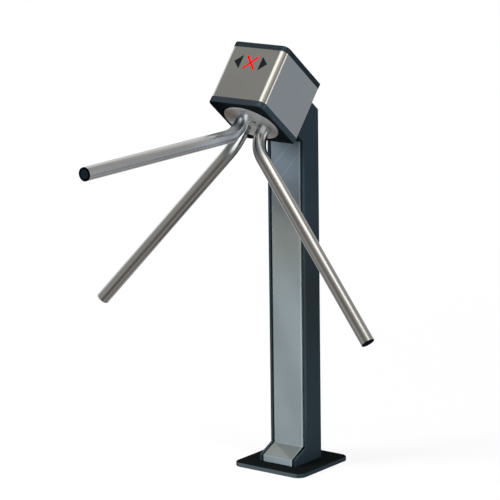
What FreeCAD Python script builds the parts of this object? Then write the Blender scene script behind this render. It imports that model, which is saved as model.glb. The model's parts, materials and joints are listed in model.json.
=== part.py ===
"""Tripod turnstile on one post, built as an assembly of separate pieces.

The origin is the middle of the base plate's underside, +Z is up and the arms reach towards -Y.
The stand is modelled where it stands. The head is modelled upright in a frame of its own: the origin is
the middle of the front cap's face, +Z runs up the turning axis into the head, -Y is the display face
and +Y is the face on the neck. One placement then tilts all the pieces of the head over the post.
"""
import FreeCAD, Part
import math
import os
import re
import Sketcher

# Driving dimensions in millimetres and degrees
SIZES = (
    ("base_width", 203),
    ("base_depth", 203),
    ("base_thickness", 10),
    ("base_corner", 22),
    ("base_edge", 2),
    ("anchor_across", 64),
    ("anchor_along", 64),
    ("anchor_hole", 14),
    ("cable_hole", 40),
    ("cable_bore", 30),
    ("grommet_rim", 5),
    ("grommet_lip", 3),
    ("post_width", 106),
    ("post_front", 10),
    ("post_back", 51.4),
    ("post_wall", 5),
    ("foot_reach", 56),
    ("foot_lip", 16),
    ("foot_rise", 22),
    ("panel_gap", 5.5),
    ("panel_sheet", 2.5),
    ("panel_return", 14),
    ("panel_top_gap", 1),
    ("rail_sheet", 2),
    ("rail_leg", 16),
    ("rail_end", 20),
    ("clip_wall", 2),
    ("clip_grip", 6),
    ("clip_width", 12),
    ("clip_end", 60),
    ("head_reach", 142),
    ("head_lift", 858),
    ("head_tilt", 50),
    ("head_width", 156.5),
    ("head_face", 85.5),
    ("head_back", 81.5),
    ("head_corner", 15.5),
    ("rear_corner", 3),
    ("sleeve_length", 137),
    ("sleeve_wall", 2),
    ("front_cap_depth", 15),
    ("rear_cap_depth", 14),
    ("cap_proud", 0.4),
    ("cap_edge", 2.5),
    ("cap_wall", 4),
    ("cap_rim", 6),
    ("cap_spigot", 8),
    ("cap_spigot_wall", 3),
    ("slip", 0.2),
    ("neck_low", 39),
    ("neck_high", 131),
    ("neck_sheet", 4),
    ("flange_plate", 8),
    ("head_bolt", 8),
    ("head_bolt_across", 68),
    ("head_bolt_inset", 21),
    ("wire_hole", 32),
    ("indicator_shift", 4.4),
    ("indicator_up", 112.4),
    ("arrow_height", 37),
    ("arrow_width", 20),
    ("arrow_space", 27.5),
    ("cross_length", 47),
    ("cross_bar", 5),
    ("cross_angle", 47.5),
    ("lens_proud", 0.2),
    ("lens_tail", 2.2),
    ("light_depth", 6.3),
    ("board_sheet", 1.6),
    ("display_margin", 10),
    ("board_width", 100),
    ("board_length", 104),
    ("board_shift", 6),
    ("board_lift", 10),
    ("board_inset", 6),
    ("standoff", 6),
    ("board_screw", 3),
    ("terminal_length", 70),
    ("terminal_depth", 10),
    ("relay_length", 28),
    ("relay_width", 12),
    ("part_height", 9),
    ("hub_diameter", 136),
    ("hub_proud", 1.5),
    ("hub_gap", 1.5),
    ("hub_thickness", 20),
    ("hub_edge", 2),
    ("arm_tube", 32),
    ("arm_wall", 2),
    ("arm_circle", 33),
    ("arm_knee", 51.5),
    ("arm_angle", 49.75),
    ("arm_length", 546),
    ("bend_radius", 75),
    ("socket_depth", 15),
    ("socket_gap", 0.05),
    ("plug_face", 0.8),
    ("plug_depth", 14),
    ("insert_length", 20),
    ("arm_bolt", 8),
    ("hub_screw", 6),
    ("hub_screw_across", 30.2),
    ("hub_screw_down", 7.6),
    ("shaft_diameter", 25),
    ("shaft_pilot", 20),
    ("shaft_pilot_depth", 5),
    ("shaft_flange", 48),
    ("shaft_flange_depth", 8),
    ("shaft_collar", 32),
    ("shaft_tail", 4),
    ("key_width", 8),
    ("key_depth", 4),
    ("key_height", 7),
    ("chassis_plate", 6),
    ("chassis_side", 3),
    ("chassis_gap", 5.5),
    ("chassis_reach", 58),
    ("rear_room", 27),
    ("tie_rod", 12),
    ("tie_rod_end", 8),
    ("tie_rod_across", 88),
    ("cap_post", 12),
    ("cap_screw", 5),
    ("post_inset", 9),
    ("bearing_outer", 52),
    ("bearing_width", 15),
    ("race_wall", 3.7),
    ("ball_diameter", 7.94),
    ("ball_gap", 0.08),
    ("running_gap", 0.05),
    ("circlip", 1.5),
    ("circlip_height", 3.5),
    ("housing_wall", 6),
    ("housing_lip", 3),
    ("housing_hole", 37),
    ("housing_flange", 84),
    ("housing_flange_depth", 5),
    ("housing_screw", 5),
    ("housing_screw_circle", 74),
    ("spacer_outer", 36),
    ("nut_outer", 34),
    ("nut_depth", 10),
    ("lock_root", 30),
    ("lock_tip", 42),
    ("lock_depth", 8),
    ("lug_width", 10),
    ("index_radius", 38),
    ("index_depth", 8),
    ("sensor_radius", 34),
    ("sensor_depth", 2),
    ("sensor_slot", 12),
    ("sensor_across", 28),
    ("fork_width", 12),
    ("fork_depth", 12),
    ("fork_slot", 4),
    ("fork_reach", 15),
    ("fork_bite", 4),
    ("bracket_sheet", 2),
    ("pawl_out", 4),
    ("pawl_along", 24),
    ("pawl_depth", 7),
    ("pawl_swing", 16),
    ("pawl_arm", 9),
    ("pawl_boss", 14),
    ("pawl_pin", 8),
    ("pin_shoulder", 12),
    ("pin_head", 2.5),
    ("nose_gap", 1),
    ("nose_bite", 9.5),
    ("nose_width", 5.5),
    ("nose_root", 6),
    ("knee_out", 16.2),
    ("knee_down", 17.8),
    ("tail_arm", 13),
    ("tail_height", 8),
    ("tail_end", 5),
    ("spring_outer", 17),
    ("spring_length", 10),
    ("solenoid_width", 22),
    ("solenoid_wall", 2.5),
    ("solenoid_length", 34.5),
    ("plunger", 8),
    ("plunger_length", 34),
    ("plunger_gap", 0.2),
    ("contact_gap", 0.3),
    ("leaf_sheet", 1.5),
    ("leaf_eye", 10),
    ("leaf_bite", 4),
    ("leaf_foot", 22),
    ("leaf_foot_end", 58),
    ("leaf_screw", 4),
)

# Places that follow from the driving dimensions
PLACES = (
    ("tilt_sin", "sin(head_tilt)"),
    ("tilt_cos", "cos(head_tilt)"),
    ("post_inner", "post_width / 2 - post_wall"),
    ("foot_lip_top", "base_thickness + foot_lip"),
    ("foot_top", "foot_lip_top + foot_rise"),
    ("foot_slope", "foot_rise / (foot_reach - post_front)"),
    ("foot_fold", "panel_sheet * (sqrt(1 + foot_slope ^ 2) - foot_slope)"),
    ("panel_half", "post_inner - panel_gap"),
    ("sleeve_end", "front_cap_depth + sleeve_length"),
    ("head_end", "sleeve_end + rear_cap_depth"),
    ("inner_half", "head_width / 2 - sleeve_wall"),
    ("inner_front", "head_face - sleeve_wall"),
    ("inner_back", "head_back - sleeve_wall"),
    ("neck_in", "neck_high - post_wall"),
    ("neck_low_run", "(head_reach - post_front - neck_low * tilt_cos) / tilt_sin"),
    ("neck_high_run", "(head_reach + post_back - neck_high * tilt_cos) / tilt_sin"),
    ("neck_in_run", "(head_reach + post_back - post_wall - neck_in * tilt_cos) / tilt_sin"),
    ("neck_bend_low", "head_lift - neck_low_run * tilt_cos + neck_low * tilt_sin"),
    ("neck_bend_high", "head_lift - neck_high_run * tilt_cos + neck_high * tilt_sin"),
    ("neck_bend_in", "head_lift - neck_in_run * tilt_cos + neck_in * tilt_sin"),
    ("panel_top", "neck_bend_low - panel_top_gap"),
    ("rail_front", "panel_return - post_front + clip_wall"),
    ("bolt_low", "neck_low + head_bolt_inset"),
    ("bolt_high", "neck_high - head_bolt_inset"),
    ("neck_middle", "(neck_low + neck_high) / 2"),
    ("flange_back", "head_back + flange_plate"),
    ("hub_back", "hub_thickness - hub_proud"),
    ("socket_end", "socket_depth - hub_proud"),
    ("opening_radius", "hub_diameter / 2 + hub_gap"),
    ("bend_tangent", "bend_radius * tan(arm_angle / 2)"),
    ("bend_start", "bend_tangent - arm_knee"),
    ("bore_diameter", "arm_tube - 2 * arm_wall"),
    ("flange_end", "hub_back + shaft_flange_depth"),
    ("chassis_front", "flange_end + chassis_gap"),
    ("chassis_open", "chassis_front + chassis_plate"),
    ("chassis_shut", "sleeve_end - rear_room"),
    ("chassis_end", "chassis_shut + chassis_plate"),
    ("chassis_half", "inner_half - chassis_side"),
    ("chassis_seat", "inner_back - chassis_plate"),
    ("post_across", "chassis_half - post_inset"),
    ("post_high", "inner_back - chassis_plate - post_inset"),
    ("post_low", "chassis_reach - post_inset"),
    ("ring_front", "chassis_open + housing_lip"),
    ("ring_front_end", "ring_front + bearing_width"),
    ("ring_rear_end", "chassis_shut - housing_lip"),
    ("ring_rear", "ring_rear_end - bearing_width"),
    ("ball_circle", "(bearing_outer + shaft_diameter) / 4"),
    ("barrel_front", "ring_front_end + 2 * circlip"),
    ("barrel_rear", "ring_rear - 2 * circlip"),
    ("disc_space", "(ring_rear - ring_front_end - lock_depth - index_depth - sensor_depth) / 4"),
    ("lock_at", "ring_front_end + disc_space"),
    ("lock_middle", "lock_at + lock_depth / 2"),
    ("index_at", "lock_at + lock_depth + disc_space"),
    ("sensor_at", "index_at + index_depth + disc_space"),
    ("fork_at", "sensor_at + sensor_depth / 2 - fork_depth / 2"),
    ("key_start", "ring_front_end + disc_space / 2"),
    ("key_end", "ring_rear - disc_space / 2"),
    ("key_top", "shaft_diameter / 2 - key_depth + key_height"),
    ("pawl_across", "lock_tip + pawl_out"),
    ("pawl_at", "lock_middle - pawl_depth / 2"),
    ("pivot_out", "pawl_across * cos(30) - pawl_along * sin(30)"),
    ("pivot_up", "pawl_across * sin(30) + pawl_along * cos(30)"),
    ("nose_in", "lock_tip - nose_bite - pivot_out"),
    ("nose_low", "lug_width / 2 + nose_gap - pivot_up"),
    ("nose_high", "nose_low + nose_width"),
    ("nose_out", "lock_tip + nose_root - pivot_out"),
    ("knee_run", "sqrt(knee_out ^ 2 + knee_down ^ 2)"),
    ("arm_side_out", "pawl_arm / 2 * knee_down / knee_run"),
    ("arm_side_up", "pawl_arm / 2 * knee_out / knee_run"),
    ("solenoid_across", "pawl_across + tail_arm"),
    ("solenoid_low", "chassis_seat - solenoid_length"),
    ("tip_low", "pawl_along + tail_height / 2 + contact_gap"),
    ("eye_up", "index_radius - leaf_bite + leaf_eye / 2"),
    ("leaf_turn_out", "leaf_foot_end - leaf_foot"),
    ("leaf_turn_up", "chassis_seat - leaf_sheet / 2"),
    ("leaf_run", "sqrt(leaf_turn_out ^ 2 + (leaf_turn_up - eye_up) ^ 2)"),
    ("display_seat", "light_depth + lens_tail - inner_front"),
    ("display_half", "arrow_space + arrow_width + display_margin"),
    ("display_rise", "arrow_height / 2 + display_margin"),
    ("board_at", "chassis_end + board_lift"),
    ("board_top", "board_at + board_sheet"),
)

BALL_COUNT = 9
ARM_TURNS = (0, 120, -120)
SIDES = (-1, 1)
CORNERS = ((-1, -1), (1, -1), (1, 1), (-1, 1))
X_AXIS = FreeCAD.Vector(1, 0, 0)
Y_AXIS = FreeCAD.Vector(0, 1, 0)
Z_AXIS = FreeCAD.Vector(0, 0, 1)
RISING = {
    "x": FreeCAD.Rotation(Y_AXIS, 90),
    "y": FreeCAD.Rotation(X_AXIS, -90),
    "z": FreeCAD.Rotation(),
}
SKETCH_TURN = {
    "xy": FreeCAD.Rotation(),
    "yz": FreeCAD.Rotation(FreeCAD.Vector(1, 1, 1), 120),
    "xz": FreeCAD.Rotation(X_AXIS, 90),
}
HEAD_PLACE = (
    "create(<<placement>>; create(<<vector>>; 0; -head_reach; head_lift);"
    " create(<<rotation>>; create(<<vector>>; 1; 0; 0); head_tilt - 90))"
)
TURN_PLACE = (
    "create(<<placement>>; create(<<vector>>; 0; 0; 0);"
    " create(<<rotation>>; create(<<vector>>; 0; 0; 1); {angle}))"
)

doc = FreeCAD.newDocument("tripod_turnstile")
sizes = doc.addObject("Spreadsheet::Sheet", "sizes")
places = doc.addObject("Spreadsheet::Sheet", "places")
SHEET_OF = {name: "sizes." for name, _ in SIZES}
WORD = re.compile(r"[a-z_]+")
nodes = []


def bound(text):
    """The text as an expression that reads every named size from its sheet."""
    return WORD.sub(lambda found: SHEET_OF.get(found.group(0), "") + found.group(0), str(text))


def fill_sheets():
    """Write the driving dimensions as numbers and the places that follow from them as formulas."""
    for row, (name, value) in enumerate(SIZES, start=1):
        sizes.set(f"A{row}", name.replace("_", " "))
        sizes.set(f"B{row}", str(value))
        sizes.setAlias(f"B{row}", name)
    for row, (name, text) in enumerate(PLACES, start=1):
        places.set(f"A{row}", name.replace("_", " "))
        places.set(f"B{row}", "=" + bound(text))
        places.setAlias(f"B{row}", name)
    SHEET_OF.update({name: "places." for name, _ in PLACES})
    doc.recompute()


def bind(thing, **expressions):
    """Bind the properties of a feature to the sheets."""
    for name, text in expressions.items():
        thing.setExpression(name, bound(text))
    return thing


def put(thing, at):
    """Bind the place of a feature to the sheets."""
    for axis, text in zip("xyz", at):
        thing.setExpression("Placement.Base." + axis, bound(text))
    return thing


def box(name, low, high):
    """A block between two corners."""
    block = doc.addObject("Part::Box", name)
    spans = [f"({top}) - ({bottom})" for bottom, top in zip(low, high)]
    bind(block, Length=spans[0], Width=spans[1], Height=spans[2])
    return put(block, low)


def on_axis(axis, middle, start):
    """The place of something that starts on a line along one axis."""
    before, after = middle
    spots = {"x": (start, before, after), "y": (before, start, after), "z": (before, after, start)}
    return spots[axis]


def rod(name, diameter, middle, start, end, axis="z"):
    """A round bar along an axis, round the line through the middle."""
    bar = doc.addObject("Part::Cylinder", name)
    bar.Placement.Rotation = RISING[axis]
    bind(bar, Radius=f"({diameter}) / 2", Height=f"({end}) - ({start})")
    return put(bar, on_axis(axis, middle, start))


def hexagon(name, across, middle, start, end, axis="z"):
    """A hexagonal bar along an axis, given its width across the flats."""
    bar = doc.addObject("Part::Prism", name)
    bar.Polygon = 6
    bar.Placement.Rotation = RISING[axis]
    bind(bar, Circumradius=f"({across}) / (2 * cos(30))", Height=f"({end}) - ({start})")
    return put(bar, on_axis(axis, middle, start))


def plate(name, plane, corners, start, end):
    """A flat plate with straight edges: its corners in a plane, and where it starts and ends."""
    sketch = doc.addObject("Sketcher::SketchObject", name + "_outline")
    sketch.Placement.Rotation = SKETCH_TURN[plane]
    seat = {"xy": ("0", "0", start), "yz": (start, "0", "0"), "xz": ("0", end, "0")}
    put(sketch, seat[plane])
    count = len(corners)
    turn = 2 * math.pi / count
    ring = [FreeCAD.Vector(math.cos(turn * spot), math.sin(turn * spot), 0) for spot in range(count)]
    for spot in range(count):
        sketch.addGeometry(Part.LineSegment(ring[spot], ring[(spot + 1) % count]))
    for spot in range(count):
        sketch.addConstraint(Sketcher.Constraint("Coincident", spot, 2, (spot + 1) % count, 1))
    for spot, corner in enumerate(corners):
        for kind, text, first in zip(("DistanceX", "DistanceY"), corner, ring[spot]):
            rule = sketch.addConstraint(Sketcher.Constraint(kind, -1, 1, spot, 1, first))
            sketch.setExpression(f"Constraints[{rule}]", bound(text))
    solid = doc.addObject("Part::Extrusion", name)
    solid.Base = sketch
    solid.DirMode = "Normal"
    solid.Solid = True
    return bind(solid, LengthFwd=f"({end}) - ({start})")


def fuse(name, *shapes):
    """Several shapes made one solid."""
    whole = doc.addObject("Part::MultiFuse", name)
    whole.Shapes = list(shapes)
    whole.Refine = True
    return whole


def cut(name, base, *tools):
    """A shape with others taken out of it."""
    result = doc.addObject("Part::Cut", name)
    result.Base = base
    result.Tool = tools[0] if len(tools) == 1 else group(name + "_tools", *tools)
    return result


def group(name, *shapes):
    """Several shapes side by side."""
    bundle = doc.addObject("Part::Compound", name)
    bundle.Links = list(shapes)
    return bundle


def turned(name, angle, *shapes):
    """Shapes turned round the head's axis."""
    return bind(group(name, *shapes), Placement=TURN_PLACE.format(angle=angle))


def mirrored(name, source):
    """A shape seen in the middle plane of the object."""
    twin = doc.addObject("Part::Mirroring", name)
    twin.Source = source
    twin.Normal = X_AXIS
    return twin


def rounded(name, base, radius_of):
    """A shape with each edge rounded by the radius it is given, or left sharp where that is zero."""
    doc.recompute()
    found = [(spot, radius_of(edge)) for spot, edge in enumerate(base.Shape.Edges, start=1)]
    soft = doc.addObject("Part::Fillet", name)
    soft.Base = base
    soft.Edges = [(spot, radius, radius) for spot, radius in found if radius]
    return soft


def fillet(name, base, size, wanted):
    """A shape with the wanted edges rounded by one of the sizes."""
    radius = getattr(sizes, size)
    return rounded(name, base, lambda edge: radius if wanted(edge) else 0)


def upright(edge):
    """True for a straight edge along Z."""
    span = edge.BoundBox
    return span.XLength < 0.001 and span.YLength < 0.001


def level(height):
    """A test for the edges that lie flat at a height."""
    return lambda edge: edge.BoundBox.ZLength < 0.001 and abs(edge.BoundBox.ZMin - height) < 0.001


def rounded_box(name, low, high, radius):
    """A block whose four edges along Z are rounded."""
    return fillet(name, box(name + "_block", low, high), radius, upright)


def case_block(name, inset, start, end, trim=0):
    """A block with the outline of the head, smaller by an inset, its display side rounder than its back."""
    low = (f"-head_width / 2 + {inset}", f"-head_face + {inset}", start)
    high = (f"head_width / 2 - ({inset})", f"head_back - ({inset})", end)
    block = box(name + "_block", low, high)
    front = sizes.head_corner - trim
    back = sizes.rear_corner - trim

    def radius_of(edge):
        if not upright(edge):
            return 0
        return front if edge.BoundBox.YMax < 0 else back

    return rounded(name, block, radius_of)


def node(label, *shapes, place=None):
    """One named piece of the object, or a set of like pieces, put where it belongs."""
    piece = group("piece_" + label, *shapes)
    piece.Label = label
    if place:
        bind(piece, Placement=place)
    nodes.append(piece)


def head_node(label, *shapes):
    """A piece of the head, tilted with it."""
    node(label, *shapes, place=HEAD_PLACE)


def screw(name, diameter, middle, under_head, tip, axis="z", head_depth=None):
    """A round-headed screw: its shank from under the head to the tip, and the head beyond it."""
    depth = head_depth or f"({diameter}) * 0.7"
    start, end = (tip, under_head)
    shank = rod(name + "_shank", diameter, middle, start, end, axis)
    head = rod(name + "_head", f"({diameter}) * 1.7", middle, under_head, f"({under_head}) + {depth}", axis)
    return fuse(name, shank, head)


def reversed_screw(name, diameter, middle, under_head, tip, axis="z"):
    """A round-headed screw whose head lies on the low side."""
    low = f"({under_head}) - ({diameter}) * 0.7"
    shank = rod(name + "_shank", diameter, middle, under_head, tip, axis)
    head = rod(name + "_head", f"({diameter}) * 1.7", middle, low, under_head, axis)
    return fuse(name, shank, head)


def signed(sign, text):
    """A distance to one side or the other."""
    return f"({text})" if sign > 0 else f"-({text})"


# Stand


def base_plate():
    """Steel plate with rounded corners, four anchor holes and the cable hole."""
    low = ("-base_width / 2", "-base_depth / 2", "0")
    high = ("base_width / 2", "base_depth / 2", "base_thickness")
    blank = rounded_box("base_blank", low, high, "base_corner")
    blank = fillet("base_soft", blank, "base_edge", level(sizes.base_thickness))
    holes = [rod("cable_way", "cable_hole", ("0", "0"), "0", "base_thickness")]
    for spot, (across, along) in enumerate(CORNERS):
        middle = (signed(across, "anchor_across / 2"), signed(along, "anchor_along / 2"))
        holes.append(rod(f"anchor_{spot}", "anchor_hole", middle, "0", "base_thickness"))
    node("base_plate", cut("base_drilled", blank, *holes))


def cable_grommet():
    """Rubber ring in the cable hole, with a lip on the plate."""
    middle = ("0", "0")
    lip = "base_thickness + grommet_lip"
    sleeve = rod("grommet_sleeve", "cable_hole", middle, "grommet_lip", "base_thickness")
    rim = rod("grommet_disc", "cable_hole + 2 * grommet_rim", middle, "base_thickness", lip)
    bore = rod("grommet_way", "cable_bore", middle, "0", f"{lip} + 1")
    node("cable_grommet", cut("grommet", fuse("grommet_body", sleeve, rim), bore))


def head_point(across_head, up_axis):
    """A point of the head's middle plane, given in its own frame, as a point of the stand's."""
    y = f"({across_head}) * tilt_sin + ({up_axis}) * tilt_cos - head_reach"
    z = f"head_lift - ({across_head}) * tilt_cos + ({up_axis}) * tilt_sin"
    return (y, z)


def post_shell():
    """Side walls and back of the post in one folded sheet, with the foot and the bent neck."""
    outside = (
        ("-foot_reach", "base_thickness"),
        ("-foot_reach", "foot_lip_top"),
        ("-post_front", "foot_top"),
        ("-post_front", "neck_bend_low"),
        head_point("head_back", "neck_low"),
        head_point("head_back", "neck_high"),
        ("post_back", "neck_bend_high"),
        ("post_back", "base_thickness"),
    )
    inside = (
        ("post_back - post_wall", "0"),
        ("post_back - post_wall", "neck_bend_in"),
        head_point("head_back / 2", "neck_in"),
        head_point("head_back / 2", "-neck_low"),
        ("-2 * foot_reach", "0"),
    )
    solid = plate("post_solid", "yz", outside, "-post_width / 2", "post_width / 2")
    hollow = plate("post_hollow", "yz", inside, "-post_inner", "post_inner")
    node("post_shell", cut("post", solid, hollow))


def front_panel():
    """Folded cover between the walls, with a return along each side."""
    profile = (
        ("-foot_reach", "base_thickness"),
        ("-foot_reach", "foot_lip_top"),
        ("-post_front", "foot_top"),
        ("-post_front", "panel_top"),
        ("panel_sheet - post_front", "panel_top"),
        ("panel_sheet - post_front", "foot_top - foot_fold"),
        ("panel_sheet - foot_reach", "foot_lip_top - foot_fold"),
        ("panel_sheet - foot_reach", "base_thickness"),
    )
    cover = plate("panel_cover", "yz", profile, "-panel_half", "panel_half")
    low = ("panel_half - panel_sheet", "-post_front", "foot_top")
    high = ("panel_half", "panel_return - post_front", "panel_top")
    fold = box("panel_fold", low, high)
    node("front_panel", fuse("panel", cover, fold, mirrored("panel_fold_twin", fold)))


def panel_fixings():
    """Angle rails on the walls, and the spring clips on them that grip the panel's returns."""
    bottom = "foot_top + rail_end"
    top = "panel_top - rail_end"
    seat = ("post_inner - rail_leg", "rail_front", bottom)
    side = ("post_inner - rail_sheet", "rail_front", bottom)
    rail = fuse(
        "rail",
        box("rail_face", seat, ("post_inner", "rail_front + rail_sheet", top)),
        box("rail_side", side, ("post_inner", "rail_front + rail_leg", top)),
    )
    node("panel_rails", rail, mirrored("rail_twin", rail))
    clips = []
    for spot, low in enumerate((f"{bottom} + clip_end", f"{top} - clip_end - clip_width")):
        high = f"{low} + clip_width"
        edge = "panel_return - post_front"
        inner = "panel_half - panel_sheet"
        body = box(
            f"clip_body_{spot}",
            (f"{inner} - clip_wall", f"{edge} - clip_grip", low),
            ("panel_half + clip_wall", "rail_front", high),
        )
        slot = box(f"clip_slot_{spot}", (inner, f"{edge} - clip_grip", low), ("panel_half", edge, high))
        clip = cut(f"clip_{spot}", body, slot)
        clips += [clip, mirrored(f"clip_twin_{spot}", clip)]
    node("panel_clips", *clips)


def neck_pieces():
    """Underside plate of the neck, and the flange in its top end that the head is bolted to."""
    low = ("-post_inner", "head_back", "neck_low")
    high = ("post_inner", "neck_low_run", "neck_low + neck_sheet")
    head_node("neck_plate", box("neck_sheet_plate", low, high))
    low = ("-post_inner", "head_back", "neck_low + neck_sheet")
    flange = box("flange_blank", low, ("post_inner", "flange_back", "neck_in"))
    head_node("neck_flange", cut("flange", flange, *back_holes("flange", "head_back", "flange_back")))


def back_holes(name, start, end):
    """Holes for the head bolts and the wires, through what is clamped at the head's back."""
    holes = [rod(name + "_wires", "wire_hole", ("0", "neck_middle"), start, end, "y")]
    for side in SIDES:
        for up in ("bolt_low", "bolt_high"):
            middle = (signed(side, "head_bolt_across / 2"), up)
            holes.append(rod(name + "_bolt_hole", "head_bolt", middle, start, end, "y"))
    return holes


def head_bolts():
    """Hexagon bolts up through the flange, the sleeve and the chassis, each with its nut inside."""
    bolts = []
    nuts = []
    across = "head_bolt * 1.6"
    for side in SIDES:
        for up in ("bolt_low", "bolt_high"):
            middle = (signed(side, "head_bolt_across / 2"), up)
            nut_end = "chassis_seat - head_bolt * 0.8"
            shank = rod("bolt_shank", "head_bolt", middle, f"{nut_end} - 2", "flange_back", "y")
            head = hexagon("bolt_head", across, middle, "flange_back", "flange_back + head_bolt * 0.65", "y")
            bolts.append(fuse("bolt", shank, head))
            nut = hexagon("nut_blank", across, middle, nut_end, "chassis_seat", "y")
            nuts.append(cut("nut", nut, rod("nut_thread", "head_bolt", middle, nut_end, "chassis_seat", "y")))
    head_node("head_bolts", *bolts)
    head_node("head_nuts", *nuts)


# Case of the head


def arrow(name, side, start, end):
    """Triangle that points away from the middle of the indicator."""
    foot = f"{signed(side, 'arrow_space')} - indicator_shift"
    tip = f"{signed(side, 'arrow_space + arrow_width')} - indicator_shift"
    corners = (
        (foot, "indicator_up - arrow_height / 2"),
        (foot, "indicator_up + arrow_height / 2"),
        (tip, "indicator_up"),
    )
    return plate(name, "xz", corners, start, end)


def cross(name, start, end):
    """Two crossed bars with round ends."""
    bars = []
    reach = "(cross_length - cross_bar) / 2"
    for side in SIDES:
        slope = signed(side, "cross_angle")
        low = f"{reach} * cos(cross_angle)"
        up = f"{reach} * sin(cross_angle)"
        bar = doc.addObject("Part::Box", f"{name}_bar")
        bar.Placement.Rotation = FreeCAD.Rotation(Y_AXIS, 1)
        bind(bar, Length=f"2 * {reach}", Width=f"({end}) - ({start})", Height="cross_bar")
        bar.setExpression("Placement.Rotation.Angle", bound(slope))
        half = f"{signed(side, 'cross_bar / 2')} * sin(cross_angle)"
        corner_across = f"-({low}) - ({half}) - indicator_shift"
        corner_up = f"indicator_up + ({signed(side, up)}) - cross_bar / 2 * cos(cross_angle)"
        bars.append(put(bar, (corner_across, start, corner_up)))
        for end_side in SIDES:
            middle = (
                f"{signed(end_side, low)} - indicator_shift",
                f"indicator_up + ({signed(-side * end_side, up)})",
            )
            bars.append(rod(f"{name}_end", "cross_bar", middle, start, end, "y"))
    return fuse(name, *bars)


def indicator_shapes(name, start, end):
    """The two arrows and the cross, as solids of one depth."""
    arrows = [arrow(f"{name}_arrow_{side}", side, start, end) for side in SIDES]
    return arrows + [cross(f"{name}_cross", start, end)]


def head_sleeve():
    """Stainless box section with two rounded long edges, cut out for the indicator and the neck's bolts."""
    ends = ("front_cap_depth", "sleeve_end")
    outer = case_block("sleeve_outer", "0", *ends)
    hollow = case_block("sleeve_inner", "sleeve_wall", *ends, trim=sizes.sleeve_wall)
    windows = indicator_shapes("window", "-head_face", "-inner_front")
    holes = back_holes("sleeve", "inner_back", "head_back")
    head_node("head_sleeve", cut("sleeve", cut("sleeve_tube", outer, hollow), *windows, *holes))


def indicator():
    """Lenses in the display face, the light modules behind them and the board that carries these."""
    back = "lens_tail - inner_front"
    left, right, middle = indicator_shapes("lens", "-head_face - lens_proud", back)
    head_node("arrow_lenses", left, right)
    head_node("cross_lens", middle)
    lights = []
    for side in (-1, 0, 1):
        shift = f"{side} * (arrow_space + arrow_width / 2) - indicator_shift"
        half = "arrow_width / 2 + 1" if side else "cross_length / 2 * cos(cross_angle) + 1"
        low = (f"{shift} - ({half})", back, "indicator_up - arrow_height / 2 - 1")
        high = (f"{shift} + ({half})", "display_seat", "indicator_up + arrow_height / 2 + 1")
        lights.append(box("light_module", low, high))
    head_node("light_modules", *lights)
    low = ("-display_half - indicator_shift", "display_seat", "indicator_up - display_rise")
    high = ("display_half - indicator_shift", "display_seat + board_sheet", "indicator_up + display_rise")
    sheet = box("display_sheet", low, high)
    holes = [
        rod("display_hole", "board_screw", middle, "display_seat", "display_seat + board_sheet", "y")
        for middle in display_corners()
    ]
    head_node("display_board", cut("display", sheet, *holes))


def display_corners():
    """Where the display board is held."""
    across = "display_half - board_inset"
    rise = "display_rise - board_inset"
    return [
        (f"{signed(side, across)} - indicator_shift", f"indicator_up + ({signed(up, rise)})")
        for side, up in CORNERS
    ]


def board_corners():
    """Where the control board is held."""
    across = "board_width / 2 - board_inset"
    along = "board_length / 2 - board_inset"
    return [(signed(side, across), f"board_shift + ({signed(up, along)})") for side, up in CORNERS]


def control_board():
    """Control board behind the chassis, with its relays and terminal block."""
    low = ("-board_width / 2", "board_shift - board_length / 2", "board_at")
    high = ("board_width / 2", "board_shift + board_length / 2", "board_top")
    holes = [rod("board_hole", "board_screw", middle, "board_at", "board_top") for middle in board_corners()]
    head_node("control_board", cut("board", box("board_blank", low, high), *holes))
    edge = "board_shift + board_length / 2 - 2 * board_inset"
    low = ("-terminal_length / 2", f"{edge} - terminal_depth", "board_top")
    high = ("terminal_length / 2", edge, "board_top + part_height")
    block = box("terminal_blank", low, high)
    pitch = "terminal_length / 7"
    floor = "board_top + part_height / 2"
    wells = []
    for spot in range(-3, 4):
        middle = (f"{spot} * {pitch}", f"{edge} - terminal_depth / 2")
        wells.append(rod("terminal_well", "terminal_depth / 2", middle, floor, "board_top + part_height"))
    head_node("terminal_block", cut("terminal", block, *wells))
    relays = []
    for side in SIDES:
        middle = signed(side, "relay_length * 0.7")
        low = (f"{middle} - relay_length / 2", "board_shift - relay_width / 2", "board_top")
        high = (f"{middle} + relay_length / 2", "board_shift + relay_width / 2", "board_top + part_height")
        relays.append(box("relay", low, high))
    head_node("board_relays", *relays)


def board_fixings():
    """Threaded spacers under both boards, and the screws that hold the boards on them."""
    posts = []
    screws = []
    grip = "board_screw * 2"
    for middle in board_corners():
        post = rod("board_post", "standoff", middle, "chassis_end", "board_at")
        thread = rod("board_thread", "board_screw", middle, f"board_at - {grip}", "board_at")
        posts.append(cut("board_spacer", post, thread))
        screws.append(screw("board_bolt", "board_screw", middle, "board_top", f"board_at - {grip}"))
    for middle in display_corners():
        post = rod("display_post", "standoff", middle, "-inner_front", "display_seat", "y")
        thread = rod("display_thread", "board_screw", middle, f"display_seat - {grip}", "display_seat", "y")
        posts.append(cut("display_spacer", post, thread))
        under = "display_seat + board_sheet"
        screws.append(screw("display_bolt", "board_screw", middle, under, f"display_seat - {grip}", "y"))
    head_node("board_spacers", *posts)
    head_node("board_screws", *screws)


def post_spots():
    """Where the posts of the end caps stand."""
    return [
        (signed(side, "post_across"), up) for side in SIDES for up in ("-post_low", "post_high")
    ]


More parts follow.
